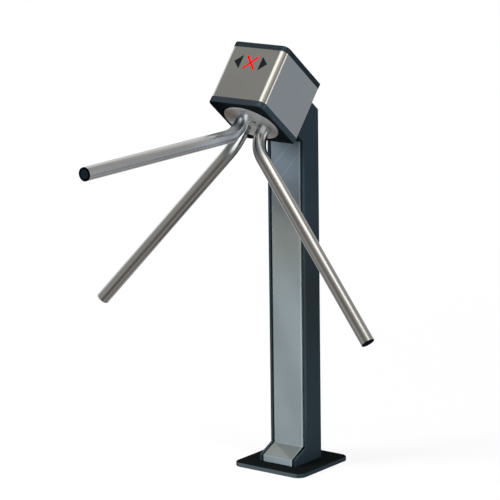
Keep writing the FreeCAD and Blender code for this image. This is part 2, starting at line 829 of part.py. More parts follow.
def end_caps():
    """Front cap round the hub and rear cap over the boards, each with a spigot in the sleeve."""
    inside = "sleeve_wall + slip"
    hollow = "sleeve_wall + slip + cap_spigot_wall"
    seat = "front_cap_depth"
    face = case_block("front_face", "-cap_proud", "0", seat)
    face = fillet("front_soft", face, "cap_edge", level(0))
    spigot = case_block("front_spigot", inside, seat, f"{seat} + cap_spigot")
    space = case_block("front_space", hollow, seat, f"{seat} + cap_spigot")
    opening = rod("front_opening", "2 * opening_radius", ("0", "0"), "0", seat)
    holes = [rod("front_screw_hole", "cap_screw", spot, "cap_rim", seat) for spot in post_spots()]
    shell = fuse("front_shell", face, cut("front_ring", spigot, space))
    head_node("front_cap", cut("front_cap_body", shell, opening, *holes))
    face = case_block("rear_face", "-cap_proud", "sleeve_end", "head_end")
    face = fillet("rear_soft", face, "cap_edge", level(places.head_end))
    spigot = case_block("rear_spigot", inside, "sleeve_end - cap_spigot", "sleeve_end")
    space = case_block("rear_space", hollow, "sleeve_end - cap_spigot", "head_end - cap_wall")
    holes = []
    for spot in post_spots():
        holes.append(rod("rear_screw_hole", "cap_screw", spot, "head_end - cap_wall", "head_end"))
        holes.append(countersink("rear_sink", spot))
    head_node("rear_cap", cut("rear_cap_body", fuse("rear_shell", face, spigot), space, *holes))


def countersink(name, spot):
    """Cone of a countersunk screw head, flush with the rear cap."""
    cone = doc.addObject("Part::Cone", name)
    bind(cone, Radius1="cap_screw / 2", Radius2="cap_screw", Height="cap_screw / 2")
    return put(cone, (*spot, "head_end - cap_screw / 2"))


def cap_fixings():
    """Posts between the chassis and the end caps, and the screws through them."""
    posts = []
    screws = []
    for spot in post_spots():
        front = rod("front_post", "cap_post", spot, "front_cap_depth", "chassis_front")
        way = rod("front_way", "cap_screw", spot, "front_cap_depth", "chassis_front")
        posts.append(cut("front_spacer", front, way))
        screws.append(screw("front_screw", "cap_screw", spot, "chassis_open", "cap_rim"))
        low = "head_end - cap_wall - 4 * cap_screw"
        rear = rod("rear_post", "cap_post", spot, "chassis_end", "head_end - cap_wall")
        thread = rod("rear_thread", "cap_screw", spot, low, "head_end - cap_wall")
        posts.append(cut("rear_spacer", rear, thread))
        shank = rod("rear_shank", "cap_screw", spot, low, "head_end - cap_screw / 2")
        screws.append(fuse("rear_screw", shank, countersink("rear_head", spot)))
    head_node("cap_posts", *posts)
    head_node("cap_screws", *screws)


# Mechanism that stays still


def chassis():
    """Steel plate folded into a U: its back on the neck's flange, its two cheeks across the axis."""
    low = ("-chassis_half", "-chassis_reach", "chassis_front")
    high = ("chassis_half", "inner_back", "chassis_end")
    blank = box("chassis_blank", low, high)
    blank = fillet("chassis_soft", blank, "rear_corner", back_corner)
    low = ("-head_width", "-head_width", "chassis_open")
    space = box("chassis_space", low, ("head_width", "chassis_seat", "chassis_shut"))
    ends = ("chassis_front", "chassis_end")
    holes = back_holes("chassis", "chassis_seat", "inner_back")
    holes.append(rod("chassis_shaft_hole", "housing_hole", ("0", "0"), *ends))
    for side in SIDES:
        middle = (signed(side, "tie_rod_across / 2"), "-post_low")
        holes.append(rod("chassis_tie_hole", "tie_rod_end", middle, *ends))
        middle = (signed(side, "pawl_across"), "pawl_along")
        holes.append(rod("chassis_pin_hole", "pawl_pin", middle, "chassis_front", "chassis_open"))
        middle = leaf_screw_spot(side)
        holes.append(rod("chassis_leaf_hole", "leaf_screw", middle, "chassis_seat", "inner_back", "y"))
    for middle in post_spots():
        holes.append(rod("chassis_cap_hole", "cap_screw", middle, "chassis_front", "chassis_open"))
    for middle in housing_spots():
        holes.append(rod("chassis_front_hole", "housing_screw", middle, "chassis_front", "chassis_open"))
        holes.append(rod("chassis_rear_hole", "housing_screw", middle, "chassis_shut", "chassis_end"))
    head_node("chassis", cut("chassis_drilled", cut("chassis_fold", blank, space), *holes))


def back_corner(edge):
    """True for the long edges at the back of the chassis."""
    return upright(edge) and edge.BoundBox.YMin > 0


def tie_rods():
    """Rods that hold the free ends of the cheeks apart, with their ends through the cheeks."""
    rods = []
    for side in SIDES:
        middle = (signed(side, "tie_rod_across / 2"), "-post_low")
        body = rod("tie_body", "tie_rod", middle, "chassis_open", "chassis_shut")
        core = rod("tie_core", "tie_rod_end", middle, "chassis_front", "chassis_end")
        rods.append(fuse("tie", body, core))
    head_node("tie_rods", *rods)


def housing_spots():
    """Where the screws of a bearing housing stand."""
    reach = "housing_screw_circle / 2 * cos(45)"
    return [(signed(across, reach), signed(along, reach)) for across, along in CORNERS]


def bearing_housings():
    """Flanged cups on the inner sides of the cheeks, their screws and the circlips in them."""
    middle = ("0", "0")
    barrel = "bearing_outer + 2 * housing_wall"
    bore = "bearing_outer + 2 * running_gap"
    front_flange = "chassis_open + housing_flange_depth"
    rear_flange = "chassis_shut - housing_flange_depth"
    front = fuse(
        "front_cup",
        rod("front_barrel", barrel, middle, "chassis_open", "barrel_front"),
        rod("front_disc", "housing_flange", middle, "chassis_open", front_flange),
    )
    rear = fuse(
        "rear_cup",
        rod("rear_barrel", barrel, middle, "barrel_rear", "chassis_shut"),
        rod("rear_disc", "housing_flange", middle, rear_flange, "chassis_shut"),
    )
    front_cuts = [
        rod("front_bore", bore, middle, "ring_front", "barrel_front"),
        rod("front_lip", "housing_hole", middle, "chassis_open", "ring_front"),
    ]
    rear_cuts = [
        rod("rear_bore", bore, middle, "barrel_rear", "ring_rear_end"),
        rod("rear_lip", "housing_hole", middle, "ring_rear_end", "chassis_shut"),
    ]
    screws = []
    for spot in housing_spots():
        front_cuts.append(rod("front_cup_hole", "housing_screw", spot, "chassis_open", front_flange))
        rear_cuts.append(rod("rear_cup_hole", "housing_screw", spot, rear_flange, "chassis_shut"))
        screws.append(screw("front_cup_screw", "housing_screw", spot, front_flange, "chassis_front"))
        screws.append(reversed_screw("rear_cup_screw", "housing_screw", spot, rear_flange, "chassis_end"))
    cups = (cut("front_housing", front, *front_cuts), cut("rear_housing", rear, *rear_cuts))
    head_node("bearing_housings", *cups)
    head_node("housing_screws", *screws)
    clips = []
    for start, end in (("ring_front_end", "ring_front_end + circlip"), ("ring_rear - circlip", "ring_rear")):
        clip = rod("circlip_disc", "bearing_outer", middle, start, end)
        space = rod("circlip_space", "bearing_outer - 2 * circlip_height", middle, start, end)
        clips.append(cut("circlip_ring", clip, space))
    head_node("bearing_circlips", *clips)


def groove(name, start):
    """Ring that the balls roll in, a little fuller than the balls."""
    ring = doc.addObject("Part::Torus", name)
    bind(ring, Radius1="ball_circle", Radius2="ball_diameter / 2 + ball_gap")
    return put(ring, ("0", "0", f"{start} + bearing_width / 2"))


def bearings():
    """Two deep-groove ball bearings: outer rings, inner rings and balls."""
    middle = ("0", "0")
    outer = []
    inner = []
    balls = []
    for name, start in (("front", "ring_front"), ("rear", "ring_rear")):
        end = f"{start} + bearing_width"
        ring = rod(name + "_outer_blank", "bearing_outer", middle, start, end)
        space = rod(name + "_outer_space", "bearing_outer - 2 * race_wall", middle, start, end)
        outer.append(cut(name + "_outer_ring", ring, space, groove(name + "_outer_groove", start)))
        ring = rod(name + "_inner_blank", "shaft_diameter + 2 * race_wall", middle, start, end)
        space = rod(name + "_inner_space", "shaft_diameter", middle, start, end)
        inner.append(cut(name + "_inner_ring", ring, space, groove(name + "_inner_groove", start)))
        for spot in range(BALL_COUNT):
            angle = spot * 360 / BALL_COUNT
            ball = doc.addObject("Part::Sphere", name + "_ball")
            bind(ball, Radius="ball_diameter / 2")
            across = f"ball_circle * cos({angle})"
            along = f"ball_circle * sin({angle})"
            balls.append(put(ball, (across, along, f"{start} + bearing_width / 2")))
    head_node("bearing_outer_rings", *outer)
    head_node("bearing_inner_rings", *inner)
    head_node("bearing_balls", *balls)


def leaf_screw_spot(side):
    """Where one of the two screws of the leaf spring stands."""
    across = signed(side, "leaf_screw * 1.25") + " - leaf_foot_end + leaf_foot / 2"
    return (across, "index_at + index_depth / 2")


def index_spring():
    """Leaf spring screwed to the chassis, with an eye that lies in a notch of the index disc."""
    top = "index_at + index_depth"
    low = ("-leaf_foot_end", "chassis_seat - leaf_sheet", "index_at")
    foot = box("leaf_foot_plate", low, ("-leaf_turn_out", "chassis_seat", top))
    leg = doc.addObject("Part::Box", "leaf_leg")
    leg.Placement.Rotation = FreeCAD.Rotation(Z_AXIS, -1)
    bind(leg, Length="leaf_run - leaf_eye / 2 + leaf_sheet / 2", Width="leaf_sheet", Height="index_depth")
    leg.setExpression("Placement.Rotation.Angle", bound("atan((leaf_turn_up - eye_up) / leaf_turn_out)"))
    leg.setExpression("Placement.Rotation.Axis.z", "-1")
    slope_out = "leaf_sheet / 2 * (leaf_turn_up - eye_up) / leaf_run"
    slope_up = "leaf_sheet / 2 * leaf_turn_out / leaf_run"
    put(leg, (f"-leaf_turn_out - {slope_out}", f"leaf_turn_up - {slope_up}", "index_at"))
    knuckle = rod("leaf_knuckle", "leaf_sheet", ("-leaf_turn_out", "leaf_turn_up"), "index_at", top)
    eye = rod("leaf_roll", "leaf_eye", ("0", "eye_up"), "index_at", top)
    core = rod("leaf_core", "leaf_eye - 2 * leaf_sheet", ("0", "eye_up"), "index_at", top)
    whole = fuse("leaf", foot, leg, knuckle, cut("leaf_eye_tube", eye, core))
    holes = []
    screws = []
    for side in SIDES:
        middle = leaf_screw_spot(side)
        holes.append(rod("leaf_hole", "leaf_screw", middle, "chassis_seat - leaf_sheet", "chassis_seat", "y"))
        under = "chassis_seat - leaf_sheet"
        screws.append(reversed_screw("leaf_bolt", "leaf_screw", middle, under, "inner_back", "y"))
    head_node("index_spring", cut("leaf_drilled", whole, *holes))
    head_node("index_spring_screws", *screws)


def sensors():
    """Two fork sensors over the rim of the sensor disc, on a folded bracket."""
    half = "sensor_across / 2 + fork_width / 2 + bracket_sheet * 2"
    low_edge = "sensor_radius - fork_bite"
    back = "fork_at - bracket_sheet"
    upright_sheet = box("bracket_face", (f"-({half})", low_edge, back), (half, "chassis_seat", "fork_at"))
    low = (f"-({half})", "chassis_seat - bracket_sheet", back)
    foot = box("bracket_foot", low, (half, "chassis_seat", "fork_at + fork_depth"))
    head_node("sensor_bracket", fuse("bracket", upright_sheet, foot))
    forks = []
    slot_low = "sensor_at + sensor_depth / 2 - fork_slot / 2"
    for side in SIDES:
        middle = signed(side, "sensor_across / 2")
        low = (f"{middle} - fork_width / 2", f"{low_edge} - fork_bite", "fork_at")
        high = (f"{middle} + fork_width / 2", f"{low_edge} - fork_bite + fork_reach", "fork_at + fork_depth")
        body = box("fork_body", low, high)
        gap_low = (low[0], low[1], slot_low)
        gap_high = (high[0], "sensor_radius + contact_gap", f"{slot_low} + fork_slot")
        forks.append(cut("fork", body, box("fork_gap", gap_low, gap_high)))
    head_node("position_sensors", *forks)


def solenoids():
    """Push solenoids on the chassis: an open steel frame and a coil, with the plunger along Y."""
    half = "solenoid_width / 2"
    middle = ("solenoid_across", "lock_middle")
    way = "plunger + 2 * plunger_gap"
    inside = f"{half} - solenoid_wall"
    low_end = "solenoid_low + solenoid_wall"
    high_end = "chassis_seat - solenoid_wall"
    low = (f"solenoid_across - {half}", "solenoid_low", f"lock_middle - {half}")
    high = (f"solenoid_across + {half}", "chassis_seat", f"lock_middle + {half}")
    window_low = (f"solenoid_across - ({inside})", low_end, f"lock_middle - {half}")
    window_high = (f"solenoid_across + ({inside})", high_end, f"lock_middle + {half}")
    frame = cut(
        "coil_frame",
        box("coil_frame_block", low, high),
        box("coil_window", window_low, window_high),
        rod("coil_frame_way", way, middle, "solenoid_low", low_end, "y"),
    )
    coil = cut(
        "coil",
        rod("coil_body", f"2 * ({inside})", middle, low_end, high_end, "y"),
        rod("coil_way", way, middle, low_end, high_end, "y"),
    )
    head_node("solenoid_frames", frame, mirrored("coil_frame_twin", frame))
    head_node("solenoid_coils", coil, mirrored("coil_twin", coil))


def pawl_pins():
    """Shouldered pins in the front cheek that carry the pawls, and the coil springs round them."""
    pins = []
    springs = []
    shoulder = "pawl_at - contact_gap"
    top = "pawl_at + pawl_depth + contact_gap"
    for side in SIDES:
        middle = (signed(side, "pawl_across"), "pawl_along")
        shank = rod("pin_shank", "pawl_pin - 2 * running_gap", middle, "chassis_open", top)
        foot = rod("pin_foot", "pawl_pin", middle, "chassis_front", "chassis_open")
        collar = rod("pin_collar", "pin_shoulder", middle, "chassis_open", shoulder)
        head = rod("pin_cap", "pin_shoulder", middle, top, f"{top} + pin_head")
        pins.append(fuse("pin", shank, foot, collar, head))
        foot = f"{shoulder} - spring_length"
        coil = rod("spring_coil", "spring_outer", middle, foot, shoulder)
        core = rod("spring_core", "pin_shoulder + 2 * contact_gap", middle, foot, shoulder)
        springs.append(cut("spring", coil, core))
    head_node("pawl_pins", *pins)
    head_node("pawl_springs", *springs)


# Mechanism that moves


def pawl_body():
    """Right-hand pawl, swung clear of the lugs: hooked arm, tail under the plunger, boss on its pin."""
    corners = (
        ("arm_side_out", "arm_side_up"),
        ("-arm_side_out", "-arm_side_up"),
        ("knee_out - arm_side_out", "-knee_down - arm_side_up"),
        ("nose_out - pawl_arm * 0.7", "nose_high"),
        ("nose_in", "nose_high"),
        ("nose_in", "nose_low"),
        ("nose_out - nose_width / 4", "nose_low"),
        ("nose_out + nose_width / 2", "nose_high + nose_width / 2"),
        ("knee_out + arm_side_out * 1.5", "arm_side_up - knee_down"),
    )
    hook = plate("pawl_hook", "xy", corners, "pawl_at", "pawl_at + pawl_depth")
    arm = group("pawl_swung", hook)
    arm.Placement.Rotation = FreeCAD.Rotation(Z_AXIS, -1)
    arm.setExpression("Placement.Rotation.Angle", bound("30 - pawl_swing"))
    arm.setExpression("Placement.Rotation.Axis.z", "-1")
    put(arm, ("pawl_across", "pawl_along", "0"))
    top = "pawl_at + pawl_depth"
    low = ("pawl_across", "pawl_along - tail_height / 2", "pawl_at")
    tail = box("pawl_tail", low, ("pawl_across + tail_arm + tail_end", "pawl_along + tail_height / 2", top))
    middle = ("pawl_across", "pawl_along")
    boss = rod("pawl_hub", "pawl_boss", middle, "pawl_at", top)
    hole = rod("pawl_hole", "pawl_pin", middle, "pawl_at", top)
    return cut("pawl", fuse("pawl_blank", arm, tail, boss), hole)


def plunger_body():
    """Right-hand plunger with a round tip that lies on the pawl's tail."""
    middle = ("solenoid_across", "lock_middle")
    start = "tip_low + plunger / 2"
    bar = rod("plunger_bar", "plunger", middle, start, "tip_low + plunger_length", "y")
    tip = doc.addObject("Part::Sphere", "plunger_tip")
    bind(tip, Radius="plunger / 2")
    return fuse("plunger", bar, put(tip, ("solenoid_across", start, "lock_middle")))


def locks():
    """Both pawls and both plungers."""
    pawl = pawl_body()
    plunger = plunger_body()
    head_node("right_pawl", pawl)
    head_node("left_pawl", mirrored("pawl_twin", pawl))
    head_node("right_plunger", plunger)
    head_node("left_plunger", mirrored("plunger_twin", plunger))


def on_arm(name, diameter, start, end):
    """A round bar on the line of the home arm, at distances from its knee."""
    bar = doc.addObject("Part::Cylinder", name)
    bar.Placement.Rotation = FreeCAD.Rotation(X_AXIS, 130)
    bind(bar, Radius=f"({diameter}) / 2", Height=f"({end}) - ({start})")
    bar.setExpression("Placement.Rotation.Angle", bound("180 - arm_angle"))
    place = (
        "0",
        f"-arm_circle - ({start}) * sin(arm_angle)",
        f"-arm_knee - ({start}) * cos(arm_angle)",
    )
    return put(bar, place)


def bent_bar(name, diameter, root, overrun):
    """A round bar that leaves the hub along the axis, then bends and runs out to the arm's end."""
    middle = ("0", "-arm_circle")
    stem = rod(name + "_stem", diameter, middle, "bend_start", root)
    bend = doc.addObject("Part::Torus", name + "_bend")
    turn = FreeCAD.Rotation(Y_AXIS, -Z_AXIS, -X_AXIS, "XYZ")
    bend.Placement.Rotation = turn
    bind(bend, Radius1="bend_radius", Radius2=f"({diameter}) / 2", Angle3="arm_angle")
    put(bend, ("0", "-arm_circle - bend_radius", "bend_start"))
    run = on_arm(name + "_run", diameter, "bend_tangent", f"arm_length - plug_face + {overrun}")
    return fuse(name, stem, bend, run)


def arms():
    """Three bent tubes in the hub, each with an insert at its root and a plug in its free end."""
    outer = bent_bar("arm_outer", "arm_tube", "socket_end", "0")
    inner = bent_bar("arm_bore", "bore_diameter", "socket_end + 1", "1")
    tube = cut("arm", outer, inner)
    rim = "arm_length - plug_face"
    plug = fuse(
        "plug",
        on_arm("plug_disc", "arm_tube", rim, "arm_length"),
        on_arm("plug_stem", "bore_diameter", f"{rim} - plug_depth", rim),
    )
    middle = ("0", "-arm_circle")
    insert = cut(
        "insert",
        rod("insert_body", "bore_diameter", middle, "socket_end - insert_length", "socket_end"),
        rod("insert_thread", "arm_bolt", middle, "socket_end - insert_length", "socket_end"),
    )
    bolt = screw("arm_fixing", "arm_bolt", middle, "hub_back", "socket_end - insert_length + 4")
    plugs = []
    inserts = []
    bolts = []
    for spot, angle in enumerate(ARM_TURNS, start=1):
        head_node(f"arm_{spot}", turned(f"arm_turned_{spot}", angle, tube))
        plugs.append(turned(f"plug_turned_{spot}", angle, plug))
        inserts.append(turned(f"insert_turned_{spot}", angle, insert))
        bolts.append(turned(f"bolt_turned_{spot}", angle, bolt))
    head_node("arm_plugs", *plugs)
    head_node("arm_inserts", *inserts)
    head_node("arm_bolts", *bolts)


def hub():
    """Turned disc with three sockets for the arms and two sunk screws between them."""
    axis = ("0", "0")
    blank = rod("hub_blank", "hub_diameter", axis, "-hub_proud", "hub_back")
    blank = fillet("hub_soft", blank, "hub_edge", level(-sizes.hub_proud))
    arm_spot = ("0", "-arm_circle")
    sink = "hub_screw - hub_proud"
    cuts = [rod("hub_pilot", "shaft_pilot", axis, "hub_back - shaft_pilot_depth", "hub_back")]
    socket = rod("hub_socket", "arm_tube + 2 * socket_gap", arm_spot, "-hub_proud", "socket_end")
    bolt_way = rod("hub_bolt_way", "arm_bolt", arm_spot, "socket_end", "hub_back")
    for spot, angle in enumerate(ARM_TURNS):
        cuts.append(turned(f"hub_cut_{spot}", angle, socket, bolt_way))
    screws = []
    for spot in hub_screw_spots():
        cuts.append(rod("hub_screw_way", "hub_screw", spot, sink, "hub_back"))
        cuts.append(rod("hub_screw_sink", "hub_screw * 1.7 + 2 * slip", spot, "-hub_proud", sink))
        screws.append(reversed_screw("hub_fixing", "hub_screw", spot, sink, "flange_end"))
    head_node("hub", cut("hub_drilled", blank, *cuts))
    head_node("hub_screws", *screws)


def hub_screw_spots():
    """Where the screws go through the hub into the shaft's flange, on both sides of the home arm."""
    return [(signed(side, "hub_screw_across / 2"), "-hub_screw_down") for side in SIDES]


def key_space():
    """Room for the key, as a block through the discs and the shaft."""
    low = ("shaft_diameter / 2 - key_depth", "-key_width / 2", "key_start")
    return box("key_block", low, ("key_top", "key_width / 2", "key_end"))


def key_slot(name):
    """Keyway through the bore of a disc or a spacer, from end to end of the stack."""
    low = ("0", "-key_width / 2", "ring_front_end - 1")
    return box(name, low, ("key_top", "key_width / 2", "ring_rear + 1"))


def shaft():
    """Shaft with the flange that carries the hub, the key in it and the nut that clamps the stack."""
    axis = ("0", "0")
    tail = "ring_rear_end + nut_depth + shaft_tail"
    solid = fuse(
        "shaft_solid",
        rod("shaft_nose", "shaft_pilot", axis, "hub_back - shaft_pilot_depth", "hub_back"),
        rod("shaft_disc", "shaft_flange", axis, "hub_back", "flange_end"),
        rod("shaft_shoulder", "shaft_collar", axis, "flange_end", "ring_front"),
        rod("shaft_bar", "shaft_diameter", axis, "ring_front", tail),
    )
    threads = [rod("shaft_thread", "hub_screw", spot, "hub_back", "flange_end") for spot in hub_screw_spots()]
    key = key_space()
    head_node("main_shaft", cut("shaft_cut", solid, key, *threads))
    head_node("shaft_key", key)
    nut = rod("lock_nut_blank", "nut_outer", axis, "ring_rear_end", "ring_rear_end + nut_depth")
    cuts = [rod("lock_nut_thread", "shaft_diameter", axis, "ring_rear_end", "ring_rear_end + nut_depth")]
    for across, along in ((1, 0), (0, 1), (-1, 0), (0, -1)):
        shift = "nut_outer / 2"
        low = (f"{across} * {shift} - 2.5", f"{along} * {shift} - 2.5", "ring_rear_end + nut_depth / 2")
        high = (f"{across} * {shift} + 2.5", f"{along} * {shift} + 2.5", "ring_rear_end + nut_depth")
        cuts.append(box("lock_nut_slot", low, high))
    head_node("shaft_nut", cut("lock_nut", nut, *cuts))


def disc_bore(name):
    """Bore of the discs and spacers, from end to end of the stack."""
    return rod(name, "shaft_diameter + 2 * running_gap", ("0", "0"), "ring_front_end - 1", "ring_rear + 1")


def discs():
    """Lock disc with three lugs, index disc with three notches, slotted sensor disc and the spacers."""
    axis = ("0", "0")
    lock_end = "lock_at + lock_depth"
    index_end = "index_at + index_depth"
    sensor_end = "sensor_at + sensor_depth"
    lug = box("lug_block", ("-lug_width / 2", "0", "lock_at"), ("lug_width / 2", "lock_tip + 1", lock_end))
    rim = rod("lug_rim", "2 * lock_tip", axis, "lock_at", lock_end)
    lugs = doc.addObject("Part::Common", "lugs")
    lugs.Base = fuse("lug_star", *[turned(f"lug_{angle}", angle, lug) for angle in (0, 120, 240)])
    lugs.Tool = rim
    body = fuse("lock_body", rod("lock_blank", "2 * lock_root", axis, "lock_at", lock_end), lugs)
    head_node("lock_disc", cut("lock", body, disc_bore("lock_bore"), key_slot("lock_key")))
    notch = rod("notch", "leaf_eye + 2 * contact_gap", ("0", "eye_up"), "index_at", index_end)
    notches = [turned(f"notch_{angle}", angle, notch) for angle in (0, 120, 240)]
    blank = rod("index_blank", "2 * index_radius", axis, "index_at", index_end)
    head_node("index_disc", cut("index", blank, disc_bore("index_bore"), key_slot("index_key"), *notches))
    slot_low = ("-sensor_slot / 2", "sensor_radius - sensor_slot", "sensor_at")
    slot = box("sensor_gap", slot_low, ("sensor_slot / 2", "sensor_radius + 1", sensor_end))
    slots = [turned(f"sensor_gap_{angle}", angle, slot) for angle in (0, 120, 240)]
    blank = rod("sensor_blank", "2 * sensor_radius", axis, "sensor_at", sensor_end)
    head_node("sensor_disc", cut("sensor", blank, disc_bore("sensor_bore"), key_slot("sensor_key"), *slots))
    spans = (
        ("ring_front_end", "lock_at"),
        (lock_end, "index_at"),
        (index_end, "sensor_at"),
        (sensor_end, "ring_rear"),
    )
    tubes = []
    for start, end in spans:
        tube = rod("spacer_tube", "spacer_outer", axis, start, end)
        tubes.append(cut("spacer", tube, disc_bore("spacer_bore"), key_slot("spacer_key")))
    head_node("disc_spacers", *tubes)


def check():
    """Stop if a feature failed, or a piece has no sound solid."""
    for thing in doc.Objects:
        if "Invalid" in thing.State or "Error" in thing.State:
            raise RuntimeError(f"{thing.Name} failed: {thing.State}")
    for piece in nodes:
        if piece.Shape.isNull() or not piece.Shape.isValid() or not piece.Shape.Solids:
            raise RuntimeError(f"{piece.Label} has no sound shape")


def write():
    """Write every piece to a file of its own."""
    os.makedirs("parts", exist_ok=True)
    for piece in nodes:
        piece.Shape.exportStep(f"parts/{piece.Label}.step")
        print(f"{piece.Label}: {len(piece.Shape.Solids)} solids, {piece.Shape.Volume / 1000:.1f} cm3")


fill_sheets()
base_plate()
cable_grommet()
post_shell()
front_panel()
panel_fixings()
neck_pieces()
head_bolts()
head_sleeve()
indicator()
control_board()
board_fixings()
end_caps()
cap_fixings()
chassis()
tie_rods()
bearing_housings()
bearings()
index_spring()
sensors()
solenoids()
pawl_pins()
locks()
hub()
arms()
shaft()
discs()
doc.recompute()
check()
write()
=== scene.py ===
"""Tripod turnstile on one post: the pieces that show are modelled, every piece gets its finish,
and a plain studio is set up round them."""
import json
import math

import bmesh
import bpy
from mathutils import Matrix, Vector


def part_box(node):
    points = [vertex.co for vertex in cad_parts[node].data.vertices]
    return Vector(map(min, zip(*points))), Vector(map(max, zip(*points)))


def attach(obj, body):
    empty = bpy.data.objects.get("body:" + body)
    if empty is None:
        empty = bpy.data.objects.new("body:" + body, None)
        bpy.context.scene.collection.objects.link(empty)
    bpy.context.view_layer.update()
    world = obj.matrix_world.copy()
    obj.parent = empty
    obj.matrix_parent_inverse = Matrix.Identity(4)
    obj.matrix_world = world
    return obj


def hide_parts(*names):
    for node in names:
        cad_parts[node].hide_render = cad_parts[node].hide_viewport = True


bl_info = {
    "name": "Tripod turnstile",
    "version": (1, 0, 0),
    "blender": (4, 5, 0),
    "location": "View3D > Sidebar > Turnstile",
    "description": "Models and finishes a tripod turnstile and sets up a studio round it",
    "category": "Object",
}

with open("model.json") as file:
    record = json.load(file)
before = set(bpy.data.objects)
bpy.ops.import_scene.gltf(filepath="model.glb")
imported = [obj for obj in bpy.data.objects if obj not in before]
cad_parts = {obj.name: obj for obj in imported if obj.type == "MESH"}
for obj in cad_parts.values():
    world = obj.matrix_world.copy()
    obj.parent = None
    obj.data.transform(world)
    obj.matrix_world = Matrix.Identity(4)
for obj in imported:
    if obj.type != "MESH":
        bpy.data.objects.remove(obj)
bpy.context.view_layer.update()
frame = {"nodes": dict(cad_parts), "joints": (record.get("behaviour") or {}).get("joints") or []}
NODES = frame["nodes"]

# The head's own frame: Z runs up the turning axis, -Y is the display face
TURN = next(joint for joint in frame["joints"] if joint["name"] == "arms_turn")
HEAD_ORIGIN = Vector(TURN["pos_m"])
HEAD_LEAN = math.atan2(TURN["axis"][1], TURN["axis"][2])
HEAD = Matrix.Translation(HEAD_ORIGIN) @ Matrix.Rotation(-HEAD_LEAN, 4, "X")

POST_LOW, POST_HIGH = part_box("post_shell")
PANEL_LOW, PANEL_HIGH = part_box("front_panel")

SHARP = math.radians(30)  # an edge that turns further than this is a corner
FOLDED = math.radians(20)  # an edge of the panel that turns further than this is a fold
TALL = 0.1  # the panel's face rises further than this, its slope and lip don't
RING_SIDES = 64  # sides of a round tube or plug
BEND_STEPS = 28  # steps of an arm's bend
PLUG_RIM = 0.2  # width of a plug's rim, darkened with painted shade of its hollow face, as a share of the tube's diameter

RIGHT, FRONT, UP = (1, 0, 0), (0, -1, 0), (0, 0, 1)

# The surface shader's name, and the places of a Mix node's colour sockets, whose names aren't unique
SHADER = "Principled BSDF"
COLOUR_A, COLOUR_B, COLOUR_OUT = 6, 7, 2


def size(name, description, default):
    """A length that a user may change."""
    return bpy.props.FloatProperty(
        name=name, description=description, default=default, min=0.0, precision=4, unit="LENGTH"
    )


def angle(name, description, default):
    """An angle that a user may change."""
    return bpy.props.FloatProperty(name=name, description=description, default=default, subtype="ANGLE")


def colour(name, description, default):
    """A colour that a user may change."""
    return bpy.props.FloatVectorProperty(
        name=name, description=description, default=default, size=3, min=0.0, max=1.0, subtype="COLOR"
    )


class StandSizes(bpy.types.PropertyGroup):
    """Sizes of the post and its cover."""

    post_width: size("Post width", "Width across the side walls", POST_HIGH.x - POST_LOW.x)
    post_front: size("Post front", "From the middle to the front of the walls", 0.010)
    post_back: size("Post back", "From the middle to the back of the post", POST_HIGH.y)
    post_foot: size("Foot reach", "From the middle to the front of the foot", -POST_LOW.y)
    wall: size("Wall", "Thickness of the post's folded sheet", 0.005)
    floor_level: size("Foot level", "Height of the top of the base plate", POST_LOW.z)
    lip_top: size("Lip top", "Height of the foot's upright lip", 0.026)
    foot_top: size("Foot top", "Height at which the foot's slope ends", 0.048)
    neck_low: size("Neck underside", "From the head's lower end to the neck's underside", 0.039)
    neck_high: size("Neck top", "From the head's lower end to the neck's top", 0.131)
    sheet_edge: size("Sheet edge", "Rounding of the sheet's folds and cut edges", 0.0009)
    panel_width: size("Panel width", "Width of the front panel", PANEL_HIGH.x - PANEL_LOW.x)
    panel_top: size("Panel top", "Height of the front panel's upper edge", PANEL_HIGH.z)
    panel_sheet: size("Panel sheet", "Thickness of the front panel", 0.0025)
    panel_return: size("Panel return", "Depth of the folds along the panel's sides", 0.014)
    panel_fold: size("Panel fold", "Rounding of the panel's folds and cut edges", 0.0009)


class HeadSizes(bpy.types.PropertyGroup):
    """Sizes of the head's case."""

    back: size("Head back", "From the turning axis to the back of the case", 0.0815)


class ArmSizes(bpy.types.PropertyGroup):
    """Sizes of the bent arms."""

    tube: size("Tube", "Outside diameter of an arm", 0.032)
    wall: size("Tube wall", "Wall of an arm", 0.002)
    circle: size("Root circle", "From the turning axis to an arm's root", 0.033)
    root: size("Root depth", "How far an arm goes into the hub", 0.0135)
    knee: size("Knee", "From the hub's seat to the knee of the centre line", 0.0515)
    bend: angle("Bend", "Angle between an arm and the turning axis", math.radians(49.75))
    bend_radius: size("Bend radius", "Radius of the bend at the centre line", 0.075)
    length: size("Length", "From the knee to the free end", 0.546)
    plug: size("Plug", "Thickness of the plug's face", 0.0008)


class Finishes(bpy.types.PropertyGroup):
    """Colours of the pieces that show."""

    post: colour("Post", "Paint of the post", (0.031, 0.046, 0.057))
    base: colour("Base plate", "Paint of the base plate", (0.041, 0.055, 0.063))
    panel: colour("Front panel", "Paint of the front panel", (0.25, 0.29, 0.305))
    sleeve: colour("Sleeve", "Ground steel of the head", (0.181, 0.179, 0.166))
    hub: colour("Hub", "Turned steel of the hub", (0.43, 0.435, 0.43))
    arm: colour("Arms", "Polished steel of the arms", (0.215, 0.215, 0.21))
    cap: colour("Caps", "Moulded end caps of the head", (0.0275, 0.0375, 0.0435))
    arrow: colour("Arrows", "Unlit arrows of the display", (0.0127, 0.0162, 0.0175))
    cross: colour("Cross", "Lit cross of the display", (0.75, 0.0, 0.0))
    plug: colour("Plugs", "Plugs in the arms' ends", (0.009, 0.017, 0.025))


